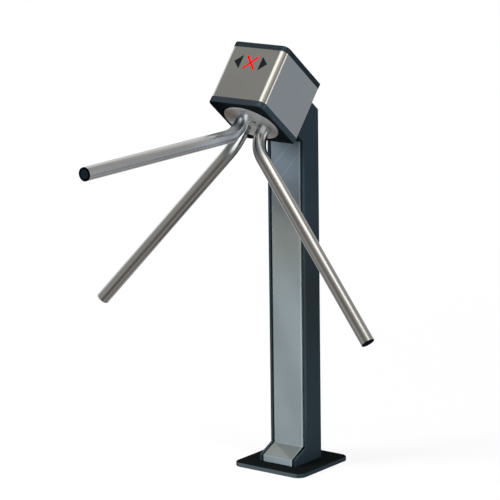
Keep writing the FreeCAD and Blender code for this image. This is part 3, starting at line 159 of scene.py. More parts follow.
class Studio(bpy.types.PropertyGroup):
    """Camera and light."""

    azimuth: angle("Azimuth", "Camera's turn round the object", math.radians(37.19))
    elevation: angle("Elevation", "Camera's height above the horizon", math.radians(12.7))
    roll: angle("Roll", "Camera's lean", math.radians(0.81))
    distance: size("Distance", "From the camera to what it looks at", 7.371)
    target: bpy.props.FloatVectorProperty(
        name="Target", description="What the camera looks at", default=(-0.1166, 0.0, 0.5136), size=3,
        subtype="TRANSLATION",
    )
    lens: bpy.props.FloatProperty(
        name="Lens", description="Focal length", default=220.03, min=1.0, unit="CAMERA"
    )
    floor: colour("Floor", "Colour of the floor", (0.5, 0.5, 0.5))


def put(tree, value, socket):
    """Set an input to a value, or link it where the value is another node's output."""
    if isinstance(value, bpy.types.NodeSocket):
        tree.links.new(value, socket)
    else:
        socket.default_value = value


def node(tree, kind, **values):
    """A shader node with its properties and inputs set."""
    made = tree.nodes.new("ShaderNode" + kind)
    for name, value in values.items():
        if hasattr(made, name):
            setattr(made, name, value)
        else:
            put(tree, value, made.inputs[name.replace("_", " ")])
    return made


def shader_of(name):
    """A new material, its node tree and its surface shader."""
    material = bpy.data.materials.new(name)
    material.use_nodes = True
    return material, material.node_tree, material.node_tree.nodes[SHADER]


def object_space(tree, scale=(1, 1, 1), turn=(0, 0, 0), middle=(0, 0, 0)):
    """The piece's own coordinates, moved, turned and stretched for a pattern."""
    spot = node(tree, "TexCoord").outputs["Object"]
    moved = node(tree, "Mapping", Vector=spot, Location=[-place for place in middle])
    turned = node(tree, "Mapping", Vector=moved.outputs[0], Rotation=turn)
    return node(tree, "Mapping", Vector=turned.outputs[0], Scale=scale).outputs[0]


def head_space(tree, scale=(1, 1, 1)):
    """The coordinates of the head's own frame."""
    return object_space(tree, scale, (HEAD_LEAN, 0, 0), HEAD_ORIGIN)


def along(tree, way, spot=None):
    """How far a point lies along a direction, in the piece's own coordinates or others."""
    dot = node(tree, "VectorMath", operation="DOT_PRODUCT")
    put(tree, spot or node(tree, "TexCoord").outputs["Object"], dot.inputs[0])
    put(tree, way, dot.inputs[1])
    return dot.outputs["Value"]


def reckon(tree, operation, first, second=0.0):
    """The result of one step of arithmetic on one or two values."""
    made = node(tree, "Math", operation=operation)
    put(tree, first, made.inputs[0])
    put(tree, second, made.inputs[1])
    return made.outputs[0]


def mixed(tree, factor, first, second, **values):
    """A mix of two colours."""
    mix = node(tree, "Mix", data_type="RGBA", **values)
    put(tree, factor, mix.inputs["Factor"])
    put(tree, first, mix.inputs[COLOUR_A])
    put(tree, second, mix.inputs[COLOUR_B])
    return mix.outputs[COLOUR_OUT]


def ramp(tree, value, none, full):
    """A mask that goes softly from 0 at one value to 1 at another."""
    return node(
        tree, "MapRange", interpolation_type="SMOOTHSTEP", Value=value, From_Min=none, From_Max=full
    ).outputs[0]


def stripe(tree, value, middle, half):
    """A mask that is 1 at a value and fades to both sides of it."""
    gap = reckon(tree, "ABSOLUTE", reckon(tree, "SUBTRACT", value, middle))
    return ramp(tree, gap, half, 0.0)


def overlap(tree, first, second):
    """A mask that is 1 where two masks are."""
    return reckon(tree, "MULTIPLY", first, second)


def outer_face(tree, way, reach, none, full):
    """A mask of the face that lies furthest along a direction, between two depths below it."""
    return ramp(tree, along(tree, way), reach - none, reach - full)


def shades(tone, swing):
    """A darker and a lighter shade of a colour."""
    return [(*(min(1.0, part * share) for part in tone), 1.0) for share in (1 - swing, 1 + swing)]


# Scale of the slow shades, and the sums of both noises that give the darkest and the lightest shade
SLOW_SCALE = 9.0
NOISE_LOW, NOISE_HIGH = 0.6, 1.4


def finish(
    name, tone, metal=0.0, rough=0.5, grain=400.0, swing=0.06, rough_swing=0.06, bump=0.03, depth=0.0002,
    specular=0.5, edge=1.0, space=None, stretch=(1, 1, 1),
):
    """A material with a fine grain in its colour, gloss and surface, over a slow change of shade."""
    material, tree, shader = shader_of(name)
    spot = (space or object_space)(tree, stretch)
    fine = node(tree, "TexNoise", Vector=spot, Scale=grain, Detail=5.0, Roughness=0.6).outputs["Fac"]
    slow = node(tree, "TexNoise", Vector=object_space(tree), Scale=SLOW_SCALE, Detail=2.0).outputs["Fac"]
    noise = reckon(tree, "ADD", fine, slow)
    even = node(tree, "MapRange", Value=noise, From_Min=NOISE_LOW, From_Max=NOISE_HIGH).outputs[0]
    dark, light = shades(tone, swing)
    tree.links.new(mixed(tree, even, dark, light, clamp_factor=True), shader.inputs["Base Color"])
    gloss = node(tree, "MapRange", Value=even, To_Min=rough - rough_swing, To_Max=rough + rough_swing)
    tree.links.new(gloss.outputs[0], shader.inputs["Roughness"])
    relief = node(tree, "Bump", Height=fine, Strength=bump, Distance=depth)
    tree.links.new(relief.outputs[0], shader.inputs["Normal"])
    shader.inputs["Metallic"].default_value = metal
    shader.inputs["Specular IOR Level"].default_value = specular
    shader.inputs["Specular Tint"].default_value = (edge, edge, edge, 1.0)
    return material


def tint(material, mask, share):
    """Multiply a material's colour by a share of each part where a mask is 1."""
    tree = material.node_tree
    socket = tree.nodes[SHADER].inputs["Base Color"]
    colour_so_far = socket.links[0].from_socket
    tree.links.new(mixed(tree, mask, colour_so_far, (*share, 1.0), blend_type="MULTIPLY"), socket)


# Scale of the hub's turned rings, and its sectors of painted reflection, darker: middle and half width in
# turns, share of the tone
HUB_RINGS = 180.0
HUB_REFLECTION_SECTORS = (
    (0.10, 0.22, (0.44, 0.345, 0.305)),
    (0.60, 0.14, (0.62, 0.55, 0.53)),
)


def turned_steel(name, tone):
    """Steel with the fine rings that a lathe leaves, round the turning axis, and painted reflection darkening
    two sectors.
    """
    material = finish(
        name, tone, metal=0.45, rough=0.4, grain=260, swing=0.05, bump=0.0, specular=0.2, edge=0.05
    )
    tree = material.node_tree
    rings = node(
        tree, "TexWave", wave_type="RINGS", rings_direction="Z", Vector=head_space(tree), Scale=HUB_RINGS,
        Distortion=0.4, Detail=2.0,
    )
    relief = node(tree, "Bump", Height=rings.outputs["Fac"], Strength=0.05, Distance=0.0001)
    tree.links.new(relief.outputs[0], tree.nodes[SHADER].inputs["Normal"])
    sector = node(tree, "TexGradient", gradient_type="RADIAL", Vector=head_space(tree)).outputs["Fac"]
    # painted reflection: two sectors of the disc are painted darker
    for middle, half, share in HUB_REFLECTION_SECTORS:
        tint(material, stripe(tree, sector, middle, half), share)
    return material


# The finish of each arm. A place along an arm is its distance from the knee, and a share is one of the tone.
# bend_shade: painted shade in the bend, as its middle, half length and share
# satin_and_sheen: how far the satin finish reaches along the arm, 0 where only the root has it, and the
# share by which that part is painted lighter
# reflection_bands: painted reflections along the tube, each as its angle round the tube, half width in
# degrees and share
# glints: painted highlights in the bend, each as its place and half width across it, where it starts and is
# full along the arm, and its share
# light_and_shade_patches: painted light and shade, each as a side of the tube, where it starts and is full on
# it, its middle, half length and share
ARM_FINISHES = (
    {
        "bend_shade": (-0.004, 0.021, (0.60, 0.65, 0.68)),
        "satin_and_sheen": (0.22, (1.7, 1.8, 1.95)),
        "reflection_bands": (
            (-27, 16, (1.2, 1.22, 1.25)),
            (8, 13, (0.92, 0.97, 1.04)),
            (25, 14, (1.2, 1.2, 1.25)),
        ),
        "glints": ((0.0125, 0.004, -0.012, -0.02, (5.0, 5.2, 5.2)),),
        "light_and_shade_patches": (
            ((0, -1, 0), 0.003, 0.011, 0.050, 0.048, (1.75, 1.75, 1.75)),
            ((1, 0, 0), 0.010, 0.014, 0.045, 0.060, (0.62, 0.62, 0.64)),
            ((-1, 0, 0), -0.010, -0.004, -0.004, 0.024, (0.42, 0.45, 0.47)),
        ),
    },
    {
        "bend_shade": (0.012, 0.045, (0.52, 0.57, 0.59)),
        "satin_and_sheen": (0.0, (1.45, 1.55, 1.55)),
        "reflection_bands": (
            (155, 16, (0.62, 0.58, 0.52)),
            (113, 14, (0.60, 0.58, 0.56)),
        ),
        "glints": ((-0.0158, 0.0015, -0.014, -0.02, (3.0, 3.0, 3.0)),),
        "light_and_shade_patches": (),
    },
    {
        "bend_shade": (0.012, 0.045, (0.52, 0.57, 0.59)),
        "satin_and_sheen": (0.0, (1.45, 1.55, 1.55)),
        "reflection_bands": (
            (74, 18, (0.47, 0.43, 0.40)),
            (105, 14, (0.70, 0.62, 0.58)),
            (33, 12, (1.15, 1.15, 1.13)),
        ),
        "glints": ((0.0032, 0.0068, 0.028, 0.004, (7.0, 7.0, 6.6)),),
        "light_and_shade_patches": (),
    },
)
DRAWN = (1, 1, 0.01)  # stretches a pattern along a tube
HAIR_SCALE = 110.0  # scale of the hair lines round a tube
HAIR_NONE, HAIR_FULL = 0.52, 0.36  # noise at which a hair line starts and is full
HAIR_SHARE = (0.90, 0.88, 0.86)
STRAIGHT_NONE, STRAIGHT_FULL = 0.015, 0.055  # where the straight tube's painted reflection bands start and are full
LINE_CORE = 0.4  # part of a painted reflection band's width that has its full share
ROOT_NONE, ROOT_FULL = -0.030, -0.010  # heights on the head at which a root's satin finish and painted light start and are full
SATIN_METAL = 0.45
SATIN_IN_BEND_SHADE = 0.4  # part of the satin finish that is left in the painted shade of the bend


def tube_steel(name, tone, sizes, turn, bend_shade, satin_and_sheen, reflection_bands, glints, light_and_shade_patches):
    """Polished steel with fine drawn hair marks along a tube, painted reflection bands, painted shade in the
    bend, painted glints, painted light and shade on its flanks, and a finish less metallic and painted
    lighter towards the root.
    """

    def tube_space(tree, scale=(1, 1, 1)):
        turned = node(tree, "Mapping", Vector=head_space(tree), Rotation=(0, 0, -turn))
        knee = node(tree, "Mapping", Vector=turned.outputs[0], Location=(0, sizes.circle, sizes.knee))
        tube = node(tree, "Mapping", Vector=knee.outputs[0], Rotation=(sizes.bend, 0, 0))
        return node(tree, "Mapping", Vector=tube.outputs[0], Scale=scale).outputs[0]

    material = finish(
        name, tone, metal=1.0, rough=0.2, grain=300, swing=0.03, rough_swing=0.02, bump=0.004, depth=0.0001,
        space=tube_space, stretch=DRAWN,
    )
    tree = material.node_tree
    hair = node(tree, "TexNoise", Vector=tube_space(tree, DRAWN), Scale=HAIR_SCALE, Detail=1.0)
    tint(material, ramp(tree, hair.outputs["Fac"], HAIR_NONE, HAIR_FULL), HAIR_SHARE)
    spot = tube_space(tree)
    run, side = along(tree, (0, 0, -1), spot), along(tree, RIGHT, spot)
    straight = ramp(tree, run, STRAIGHT_NONE, STRAIGHT_FULL)
    # painted reflections: bands along the straight tube, lighter or darker by their angle round it
    for place, half, share in reflection_bands:
        way = (math.cos(math.radians(place)), math.sin(math.radians(place)), 0)
        none, full = (sizes.tube / 2 * math.cos(math.radians(half * part)) for part in (1.0, LINE_CORE))
        tint(material, overlap(tree, straight, ramp(tree, along(tree, way, spot), none, full)), share)
    # painted shade: the bend is painted darker
    middle, half, share = bend_shade
    dark = stripe(tree, run, middle, half)
    tint(material, dark, share)
    # painted highlights: glints in the bend
    for place, half, none, full, share in glints:
        tint(material, overlap(tree, stripe(tree, side, place, half), ramp(tree, run, none, full)), share)
    # painted light and shade on the flanks of the bend
    for way, none, full, middle, half, share in light_and_shade_patches:
        flank = ramp(tree, along(tree, way, spot), none, full)
        tint(material, overlap(tree, flank, stripe(tree, run, middle, half)), share)
    # a satin finish, less metallic, towards the root, which is also painted lighter there
    end, share = satin_and_sheen
    if end:
        left = node(tree, "MapRange", Value=dark, To_Min=1.0, To_Max=SATIN_IN_BEND_SHADE).outputs[0]
        matt = overlap(tree, ramp(tree, run, end, 0.0), left)
    else:
        matt = ramp(tree, along(tree, UP, head_space(tree)), ROOT_NONE, ROOT_FULL)
    tint(material, matt, share)
    metal = node(tree, "MapRange", Value=matt, To_Min=1.0, To_Max=SATIN_METAL)
    tree.links.new(metal.outputs[0], tree.nodes[SHADER].inputs["Metallic"])
    return material


# The post's shades: the band on its walls, the darker top, painted light on the walls' inner faces beside the
# panel, and a painted highlight along the right front edge
POST_BAND_MIDDLE, POST_BAND_HALF, POST_BAND_SHARE = 0.42, 0.30, (0.83, 0.75, 0.68)
POST_TOP_NONE, POST_TOP_FULL, POST_TOP_SHARE = 0.60, 0.75, (0.85, 0.82, 0.83)
POST_INNER_LIGHT_HALF, POST_INNER_LIGHT_SHARE = 0.0012, (3.0, 3.0, 3.1)
POST_EDGE_HIGHLIGHT_SHARE = (1.5, 1.55, 1.55)


def post_paint(name, tone, sizes, neck_bend):
    """Fine textured paint of the post, with painted light on the inner faces of its walls beside the panel
    and a painted highlight along its right front edge.
    """
    material = finish(
        name, tone, metal=0.5, rough=0.5, grain=1100, swing=0.07, bump=0.05, specular=0.0, edge=0.0
    )
    tree = material.node_tree
    up = along(tree, UP)
    tint(material, stripe(tree, up, POST_BAND_MIDDLE, POST_BAND_HALF), POST_BAND_SHARE)
    tint(material, ramp(tree, up, POST_TOP_NONE, POST_TOP_FULL), POST_TOP_SHARE)
    half = sizes.post_width / 2
    across = reckon(tree, "ABSOLUTE", along(tree, RIGHT))
    # painted light on the walls' inner faces, which lie in shade in the gap beside the panel
    tint(material, stripe(tree, across, half - sizes.wall, POST_INNER_LIGHT_HALF), POST_INNER_LIGHT_SHARE)
    # painted highlight along the rounded right front edge
    front = outer_face(tree, FRONT, sizes.post_front, none=0.006, full=0.001)
    right = outer_face(tree, RIGHT, half, none=0.004, full=0.001)
    upright = stripe(tree, up, (sizes.foot_top + neck_bend) / 2, (neck_bend - sizes.foot_top) / 2)
    edge_highlight = overlap(tree, overlap(tree, front, right), ramp(tree, upright, none=0.0, full=0.1))
    tint(material, edge_highlight, POST_EDGE_HIGHLIGHT_SHARE)
    return material


# The panel's shades: slow diagonal waves of painted sheen, painted shade at the top below the head, two bands
# (middle, half height, share of the tone), painted reflections as streaks across the top, a painted highlight
# on the right edge, painted shade on the foot's slope and more above its diagonal, and painted light on the
# lip
PANEL_WAVE_WAY, PANEL_WAVE, PANEL_WAVE_START = (0.9, 0, 0.437), 0.15, 0.48
PANEL_WAVE_SHARE = (0.86, 0.87, 0.88)
PANEL_TOP_NONE, PANEL_TOP_FULL, PANEL_TOP_SHARE = 0.60, 0.70, (0.49, 0.54, 0.61)
PANEL_BANDS = (
    (0.56, 0.15, (0.92, 0.85, 0.76)),
    (0.645, 0.08, (0.62, 0.62, 0.61)),
)
STREAK_WAY, REFLECTED_STREAKS = (0.75, 0, -0.66), (-0.5103, -0.4767)
STREAK_HALF, STREAK_SHARE = 0.0024, (1.35, 1.32, 1.25)
PANEL_EDGE_HIGHLIGHT_SHARE = (1.5, 1.5, 1.45)
SLOPE_DIAGONAL_HALF = 0.02
LIP_SEAM, SLOPE_SEAM = 0.0002, 0.0006  # how far below its fold the lip's and the slope's shade ends
SLOPE_SHADE_SHARE, SLOPE_UPPER_SHADE_SHARE = (0.69, 0.65, 0.59), (0.75, 0.76, 0.80)
LIP_LIGHT_SHARE = (1.15, 1.20, 1.23)


def panel_paint(name, tone, sizes):
    """Satin paint of the front panel, with painted sheen in diagonal waves, painted shade at the top and on
    the foot's slope, painted reflected streaks, a painted highlight on its right edge and painted light on
    its lip.
    """
    material = finish(name, tone, rough=0.36, grain=900, swing=0.07, bump=0.02, specular=0.3)
    tree = material.node_tree
    up = along(tree, UP)
    turns = reckon(tree, "MULTIPLY", along(tree, PANEL_WAVE_WAY), 2 * math.pi / PANEL_WAVE)
    wave = reckon(tree, "SINE", reckon(tree, "ADD", turns, PANEL_WAVE_START))
    # painted sheen in slow diagonal waves
    tint(material, ramp(tree, wave, none=1.0, full=-1.0), PANEL_WAVE_SHARE)
    # painted shade at the top, below the head
    top = ramp(tree, up, PANEL_TOP_NONE, PANEL_TOP_FULL)
    tint(material, top, PANEL_TOP_SHARE)
    for middle, half, share in PANEL_BANDS:
        tint(material, stripe(tree, up, middle, half), share)
    # painted reflections: light diagonal streaks across the darker top
    slant = along(tree, STREAK_WAY)
    for middle in REFLECTED_STREAKS:
        tint(material, overlap(tree, top, stripe(tree, slant, middle, STREAK_HALF)), STREAK_SHARE)
    half = sizes.panel_width / 2
    # painted highlight along the right edge's fold
    tint(material, outer_face(tree, RIGHT, half, none=0.0045, full=0.0025), PANEL_EDGE_HIGHLIGHT_SHARE)
    lip_top, slope_top = sizes.lip_top - LIP_SEAM, sizes.foot_top - SLOPE_SEAM
    # painted shade on the foot's slope
    slope = overlap(
        tree, reckon(tree, "LESS_THAN", up, slope_top), reckon(tree, "GREATER_THAN", up, lip_top)
    )
    tint(material, slope, SLOPE_SHADE_SHARE)
    # more painted shade on the slope's part above its diagonal
    rise = 1 / (sizes.foot_top - sizes.lip_top)
    middle = 0.5 + sizes.lip_top * rise
    slope_diagonal = along(tree, (0.5 / half, 0, rise))
    upper = ramp(tree, slope_diagonal, middle - SLOPE_DIAGONAL_HALF, middle + SLOPE_DIAGONAL_HALF)
    tint(material, overlap(tree, upper, slope), SLOPE_UPPER_SHADE_SHARE)
    # painted light on the lip
    tint(material, reckon(tree, "LESS_THAN", up, lip_top), LIP_LIGHT_SHARE)
    return material


# Heights on the head between its front and rear caps, where one cap's shades give way to the other's
CAP_FRONT, CAP_REAR = 0.08, 0.1
CAP_UNDER_SHADE_SHARE, CAP_UNDER_LEFT_SHADE_SHARE = (0.7, 0.7, 0.7), (0.45, 0.45, 0.45)
CAP_REAR_SHADE_SHARE, CAP_EDGE_LIGHT_SHARE = (0.66, 0.73, 0.76), (1.27, 1.34, 1.4)
SLEEVE_RIGHT_REFLECTION_SHARE = (0.94, 0.965, 1.01)
CROSS_GLOW = 0.35
PLUG_RIM_SHADE_SHARE = (0.05, 0.05, 0.05)


def cap_moulding(name, tone):
    """Grained moulding of the head's caps, with painted shade underneath and on the rear cap, and painted
    light along the front cap's right edge.
    """
    material = finish(name, tone, metal=0.5, rough=0.4, grain=1500, bump=0.06, specular=0.0, edge=0.0)
    tree = material.node_tree
    up = along(tree, UP, head_space(tree))
    # painted shade on the caps' underside, deeper to the left
    under = ramp(tree, up, none=0.0015, full=0.0003)
    tint(material, under, CAP_UNDER_SHADE_SHARE)
    left = ramp(tree, along(tree, RIGHT), none=-0.02, full=-0.06)
    tint(material, overlap(tree, under, left), CAP_UNDER_LEFT_SHADE_SHARE)
    # painted shade on the rear cap
    tint(material, ramp(tree, up, CAP_FRONT, CAP_REAR), CAP_REAR_SHADE_SHARE)
    # painted light along the front cap's right edge
    edge = outer_face(tree, RIGHT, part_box("front_cap")[1].x, none=0.003, full=0.001)
    tint(material, overlap(tree, ramp(tree, up, CAP_REAR, CAP_FRONT), edge), CAP_EDGE_LIGHT_SHARE)
    return material


def dress(material, *names):
    """Give CAD nodes a material."""
    for name in names:
        slots = NODES[name].data.materials
        slots.clear()
        slots.append(material)


def piece(name, bm, body, material, slot, *stands_for):
    """Make a finished piece from its mesh, in place of the CAD nodes that it stands for."""
    mesh = bpy.data.meshes.new(name)
    bm.to_mesh(mesh)
    bm.free()
    mesh.shade_smooth()
    mesh.set_sharp_from_angle(angle=SHARP)
    mesh.materials.append(material)
    made = bpy.data.objects.new(name, mesh)
    bpy.context.scene.collection.objects.link(made)
    normals = made.modifiers.new("flat faces stay flat", "WEIGHTED_NORMAL")
    normals.keep_sharp = True
    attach(made, body)
    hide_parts(*stands_for)


def corner_edges(bm, limit=SHARP):
    """The edges at which a mesh turns a corner."""
    return [edge for edge in bm.edges if edge.is_manifold and edge.calc_face_angle() > limit]


def soften(bm, edges, radius, segments):
    """Round edges off."""
    bmesh.ops.bevel(
        bm, geom=edges, offset=radius, offset_type="OFFSET", affect="EDGES", segments=segments,
        profile=0.5, material=-1, clamp_overlap=True,
    )


def verts_of(geom):
    """The vertices of what an operator made."""
    return [part for part in geom if isinstance(part, bmesh.types.BMVert)]


def edges_of(geom):
    """The edges of what an operator made."""
    return [part for part in geom if isinstance(part, bmesh.types.BMEdge)]


def drawn(bm, edges, way):
    """Draw edges out along a vector, and give the edges at the far end."""
    made = bmesh.ops.extrude_edge_only(bm, edges=edges)["geom"]
    bmesh.ops.translate(bm, verts=verts_of(made), vec=way)
    return edges_of(made)


def thickened(bm, face, way):
    """Draw a face out along a vector, and give the vertices at the far end."""
    far = verts_of(bmesh.ops.extrude_face_region(bm, geom=[face])["geom"])
    bmesh.ops.translate(bm, verts=far, vec=way)
    return far


def neck_point(up, front):
    """Where the neck's line at a height on the head meets an upright line of the post."""
    lean = HEAD_ORIGIN.y + up * math.sin(HEAD_LEAN)
    return HEAD @ Vector((0, (front - lean) / math.cos(HEAD_LEAN), up))


class TURNSTILE_OT_post(bpy.types.Operator):
    """Fold the post's sheet: side walls, back and the bent neck"""

    bl_idname = "turnstile.post"
    bl_label = "Post"

    def execute(self, context):
        sizes = context.scene.turnstile_stand
        tone = context.scene.turnstile_finishes.post
        back = context.scene.turnstile_head.back
        low_bend = neck_point(sizes.neck_low, -sizes.post_front)
        high_bend = neck_point(sizes.neck_high, sizes.post_back)
        outline = (
            (-sizes.post_foot, sizes.floor_level),
            (-sizes.post_foot, sizes.lip_top),
            (-sizes.post_front, sizes.foot_top),
            low_bend.yz,
            (HEAD @ Vector((0, back, sizes.neck_low))).yz,
            (HEAD @ Vector((0, back, sizes.neck_high))).yz,
            high_bend.yz,
            (sizes.post_back, sizes.floor_level),
        )
        bm = bmesh.new()
        side = bm.faces.new([bm.verts.new((sizes.post_width / 2, y, z)) for y, z in outline])
        thickened(bm, side, (-sizes.post_width, 0, 0))
        bmesh.ops.recalc_face_normals(bm, faces=bm.faces)
        bm.normal_update()
        # The sheet is open to the front and at the foot
        open_sides = [face for face in bm.faces if face.normal.y < -0.1 or face.normal.z < -0.9]
        bmesh.ops.delete(bm, geom=open_sides, context="FACES")
        bmesh.ops.solidify(bm, geom=bm.faces[:], thickness=sizes.wall)
        bmesh.ops.recalc_face_normals(bm, faces=bm.faces)
        soften(bm, corner_edges(bm), sizes.sheet_edge, segments=2)
        paint = post_paint("post paint", tone, sizes, low_bend.z)
        piece("post_sheet", bm, "stand", paint, "post_paint", "post_shell")
        dress(paint, "neck_plate")
        return {"FINISHED"}


class TURNSTILE_OT_panel(bpy.types.Operator):
    """Fold the front panel: lip, slope, face and a return along each side"""

    bl_idname = "turnstile.panel"
    bl_label = "Front panel"

    def execute(self, context):
        sizes = context.scene.turnstile_stand
        tone = context.scene.turnstile_finishes.panel
        half = sizes.panel_width / 2
        line = (
            (-sizes.post_foot, sizes.floor_level),
            (-sizes.post_foot, sizes.lip_top),
            (-sizes.post_front, sizes.foot_top),
            (-sizes.post_front, sizes.panel_top),
        )
        bm = bmesh.new()
        spots = [bm.verts.new((-half, y, z)) for y, z in line]
        edges = [bm.edges.new(pair) for pair in zip(spots, spots[1:])]
        drawn(bm, edges, (2 * half, 0, 0))
        tall_sides = [
            edge for edge in bm.edges
            if edge.is_boundary and abs(edge.verts[0].co.z - edge.verts[1].co.z) > TALL
        ]
        drawn(bm, tall_sides, (0, sizes.panel_return, 0))
        bmesh.ops.recalc_face_normals(bm, faces=bm.faces)
        bm.normal_update()
        face = max(bm.faces, key=lambda face: face.calc_area())
        if face.normal.y > 0:
            bmesh.ops.reverse_faces(bm, faces=bm.faces)
        bmesh.ops.solidify(bm, geom=bm.faces[:], thickness=sizes.panel_sheet)
        bmesh.ops.recalc_face_normals(bm, faces=bm.faces)
        soften(bm, corner_edges(bm, FOLDED), sizes.panel_fold, segments=3)
        paint = panel_paint("panel paint", tone, sizes)
        piece("panel_cover", bm, "stand", paint, "panel_paint", "front_panel")
        return {"FINISHED"}


class TURNSTILE_OT_base(bpy.types.Operator):
    """Paint the base plate, with painted light on its front and painted shade on its right side and top, and
    finish the cable grommet
    """

    bl_idname = "turnstile.base"
    bl_label = "Base plate"

    def execute(self, context):
        tone = context.scene.turnstile_finishes.base
        paint = finish(
            "base paint", tone, metal=0.5, rough=0.6, grain=900, bump=0.05, specular=0.0, edge=0.0
        )
        low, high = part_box("base_plate")
        # Painted light and shade on the faces: the way each face points, its reach, the depths at which its
        # tint starts and is full, and its share
        faces = (
            (FRONT, -low.y, 0.003, 0.0005, (2.0, 2.0, 2.0)),
            (RIGHT, high.x, 0.003, 0.0005, (0.8, 0.88, 0.95)),
            (UP, high.z, 0.0012, 0.0003, (0.28, 0.27, 0.25)),
        )
        for way, reach, none, full, share in faces:
            tint(paint, outer_face(paint.node_tree, way, reach, none, full), share)
        dress(paint, "base_plate")
        dress(finish("grommet rubber", (0.02, 0.02, 0.02), rough=0.8, grain=500), "cable_grommet")
        return {"FINISHED"}


class TURNSTILE_OT_head(bpy.types.Operator):
    """Finish the head's sleeve, its end caps and the display's lenses"""

    bl_idname = "turnstile.head"
    bl_label = "Head"

    def execute(self, context):
        tones = context.scene.turnstile_finishes
        steel = finish(
            "ground steel", tones.sleeve, metal=1.0, rough=0.2, grain=60, swing=0.03, rough_swing=0.03,
            bump=0.02, depth=0.0001, space=head_space, stretch=(60, 60, 1),
        )
        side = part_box("head_sleeve")[1].x
        # painted reflection: the right face is tinted cooler
        right = outer_face(steel.node_tree, RIGHT, side, none=0.0012, full=0.0003)
        tint(steel, right, SLEEVE_RIGHT_REFLECTION_SHARE)
        dress(steel, "head_sleeve")
        dress(cap_moulding("cap moulding", tones.cap), "front_cap", "rear_cap")
        smoked = finish("smoked lens", tones.arrow, rough=0.35, grain=300, bump=0.0, specular=0.0)
        dress(smoked, "arrow_lenses")
        red = finish("red lens", tones.cross, rough=0.4, grain=300, swing=0.02, bump=0.0, specular=0.0)
        lit = red.node_tree.nodes[SHADER]
        lit.inputs["Emission Color"].default_value = (*tones.cross, 1.0)
        lit.inputs["Emission Strength"].default_value = CROSS_GLOW
        dress(red, "cross_lens")
        return {"FINISHED"}


class TURNSTILE_OT_arms(bpy.types.Operator):
    """Bend the three arms and close their ends with plugs"""

    bl_idname = "turnstile.arms"
    bl_label = "Arms"

    def execute(self, context):
        sizes = context.scene.turnstile_arms
        tones = context.scene.turnstile_finishes
        rubber = finish(
            "plug moulding", tones.plug, metal=0.5, rough=0.6, grain=900, bump=0.03, specular=0.0, edge=0.0
        )
        # painted shade: the plug's rim is darkened as the shade of its hollow face
        rim = node(rubber.node_tree, "Attribute", attribute_name="rim").outputs["Fac"]
        tint(rubber, ramp(rubber.node_tree, rim, none=0.0, full=0.6), PLUG_RIM_SHADE_SHARE)
        tangent = sizes.bend_radius * math.tan(sizes.bend / 2)
        way = Vector((0, -math.sin(sizes.bend), -math.cos(sizes.bend)))
        plugs = bmesh.new()
        for spot, turn in enumerate((0, 120, -120), start=1):
            place = HEAD @ Matrix.Rotation(math.radians(turn), 4, "Z")
            bm = bmesh.new()
            ring = bmesh.ops.create_circle(bm, segments=RING_SIDES, radius=sizes.tube / 2)["verts"]
            bmesh.ops.translate(bm, verts=ring, vec=(0, -sizes.circle, sizes.root))
            edges = drawn(bm, bm.edges[:], (0, 0, tangent - sizes.knee - sizes.root))
            bent = bmesh.ops.spin(
                bm, geom=edges, cent=(0, -sizes.circle - sizes.bend_radius, tangent - sizes.knee),
                axis=(-1, 0, 0), angle=sizes.bend, steps=BEND_STEPS, use_merge=False,
            )["geom_last"]
            drawn(bm, edges_of(bent), way * (sizes.length - sizes.plug - tangent))
            bmesh.ops.recalc_face_normals(bm, faces=bm.faces)
            bmesh.ops.solidify(bm, geom=bm.faces[:], thickness=sizes.wall)
            bmesh.ops.recalc_face_normals(bm, faces=bm.faces)
            bmesh.ops.transform(bm, matrix=place, verts=bm.verts)
            steel = tube_steel(
                f"polished tube {spot}", tones.arm, sizes, math.radians(turn), **ARM_FINISHES[spot - 1]
            )
            piece(f"arm_tube_{spot}", bm, "rotor", steel, "arm_steel", f"arm_{spot}")
            near = bmesh.ops.create_circle(
                plugs, segments=RING_SIDES, radius=sizes.tube / 2, cap_ends=True
            )["verts"]
            far = thickened(plugs, near[0].link_faces[0], (0, 0, -sizes.plug))
            lean = Matrix.Rotation(-sizes.bend, 4, "X")
            knee = Matrix.Translation((0, -sizes.circle, -sizes.knee))
            seat = Matrix.Translation(way * (sizes.length - sizes.plug))
            bmesh.ops.transform(plugs, matrix=place @ knee @ seat @ lean, verts=[*near, *far])
        bmesh.ops.recalc_face_normals(plugs, faces=plugs.faces)
        soften(plugs, corner_edges(plugs), sizes.plug / 3, segments=2)
        layer = plugs.verts.layers.float.new("rim")
        faces = [face for face in plugs.faces if len(face.verts) == RING_SIDES]
        bmesh.ops.inset_individual(plugs, faces=faces, thickness=sizes.tube * PLUG_RIM)
        inner = {vert for face in faces for vert in face.verts}
        for vert in plugs.verts:
            vert[layer] = 0.0 if vert in inner else 1.0
        piece("arm_end_plugs", plugs, "rotor", rubber, "black_plastic", "arm_plugs")
        return {"FINISHED"}


class TURNSTILE_OT_hub(bpy.types.Operator):
    """Finish the hub disc and its screws"""

    bl_idname = "turnstile.hub"
    bl_label = "Hub"

    def execute(self, context):
        dress(turned_steel("turned steel", context.scene.turnstile_finishes.hub), "hub")
        dress(finish("black oxide", (0.01, 0.01, 0.012), rough=0.45, metal=0.6), "hub_screws")
        return {"FINISHED"}


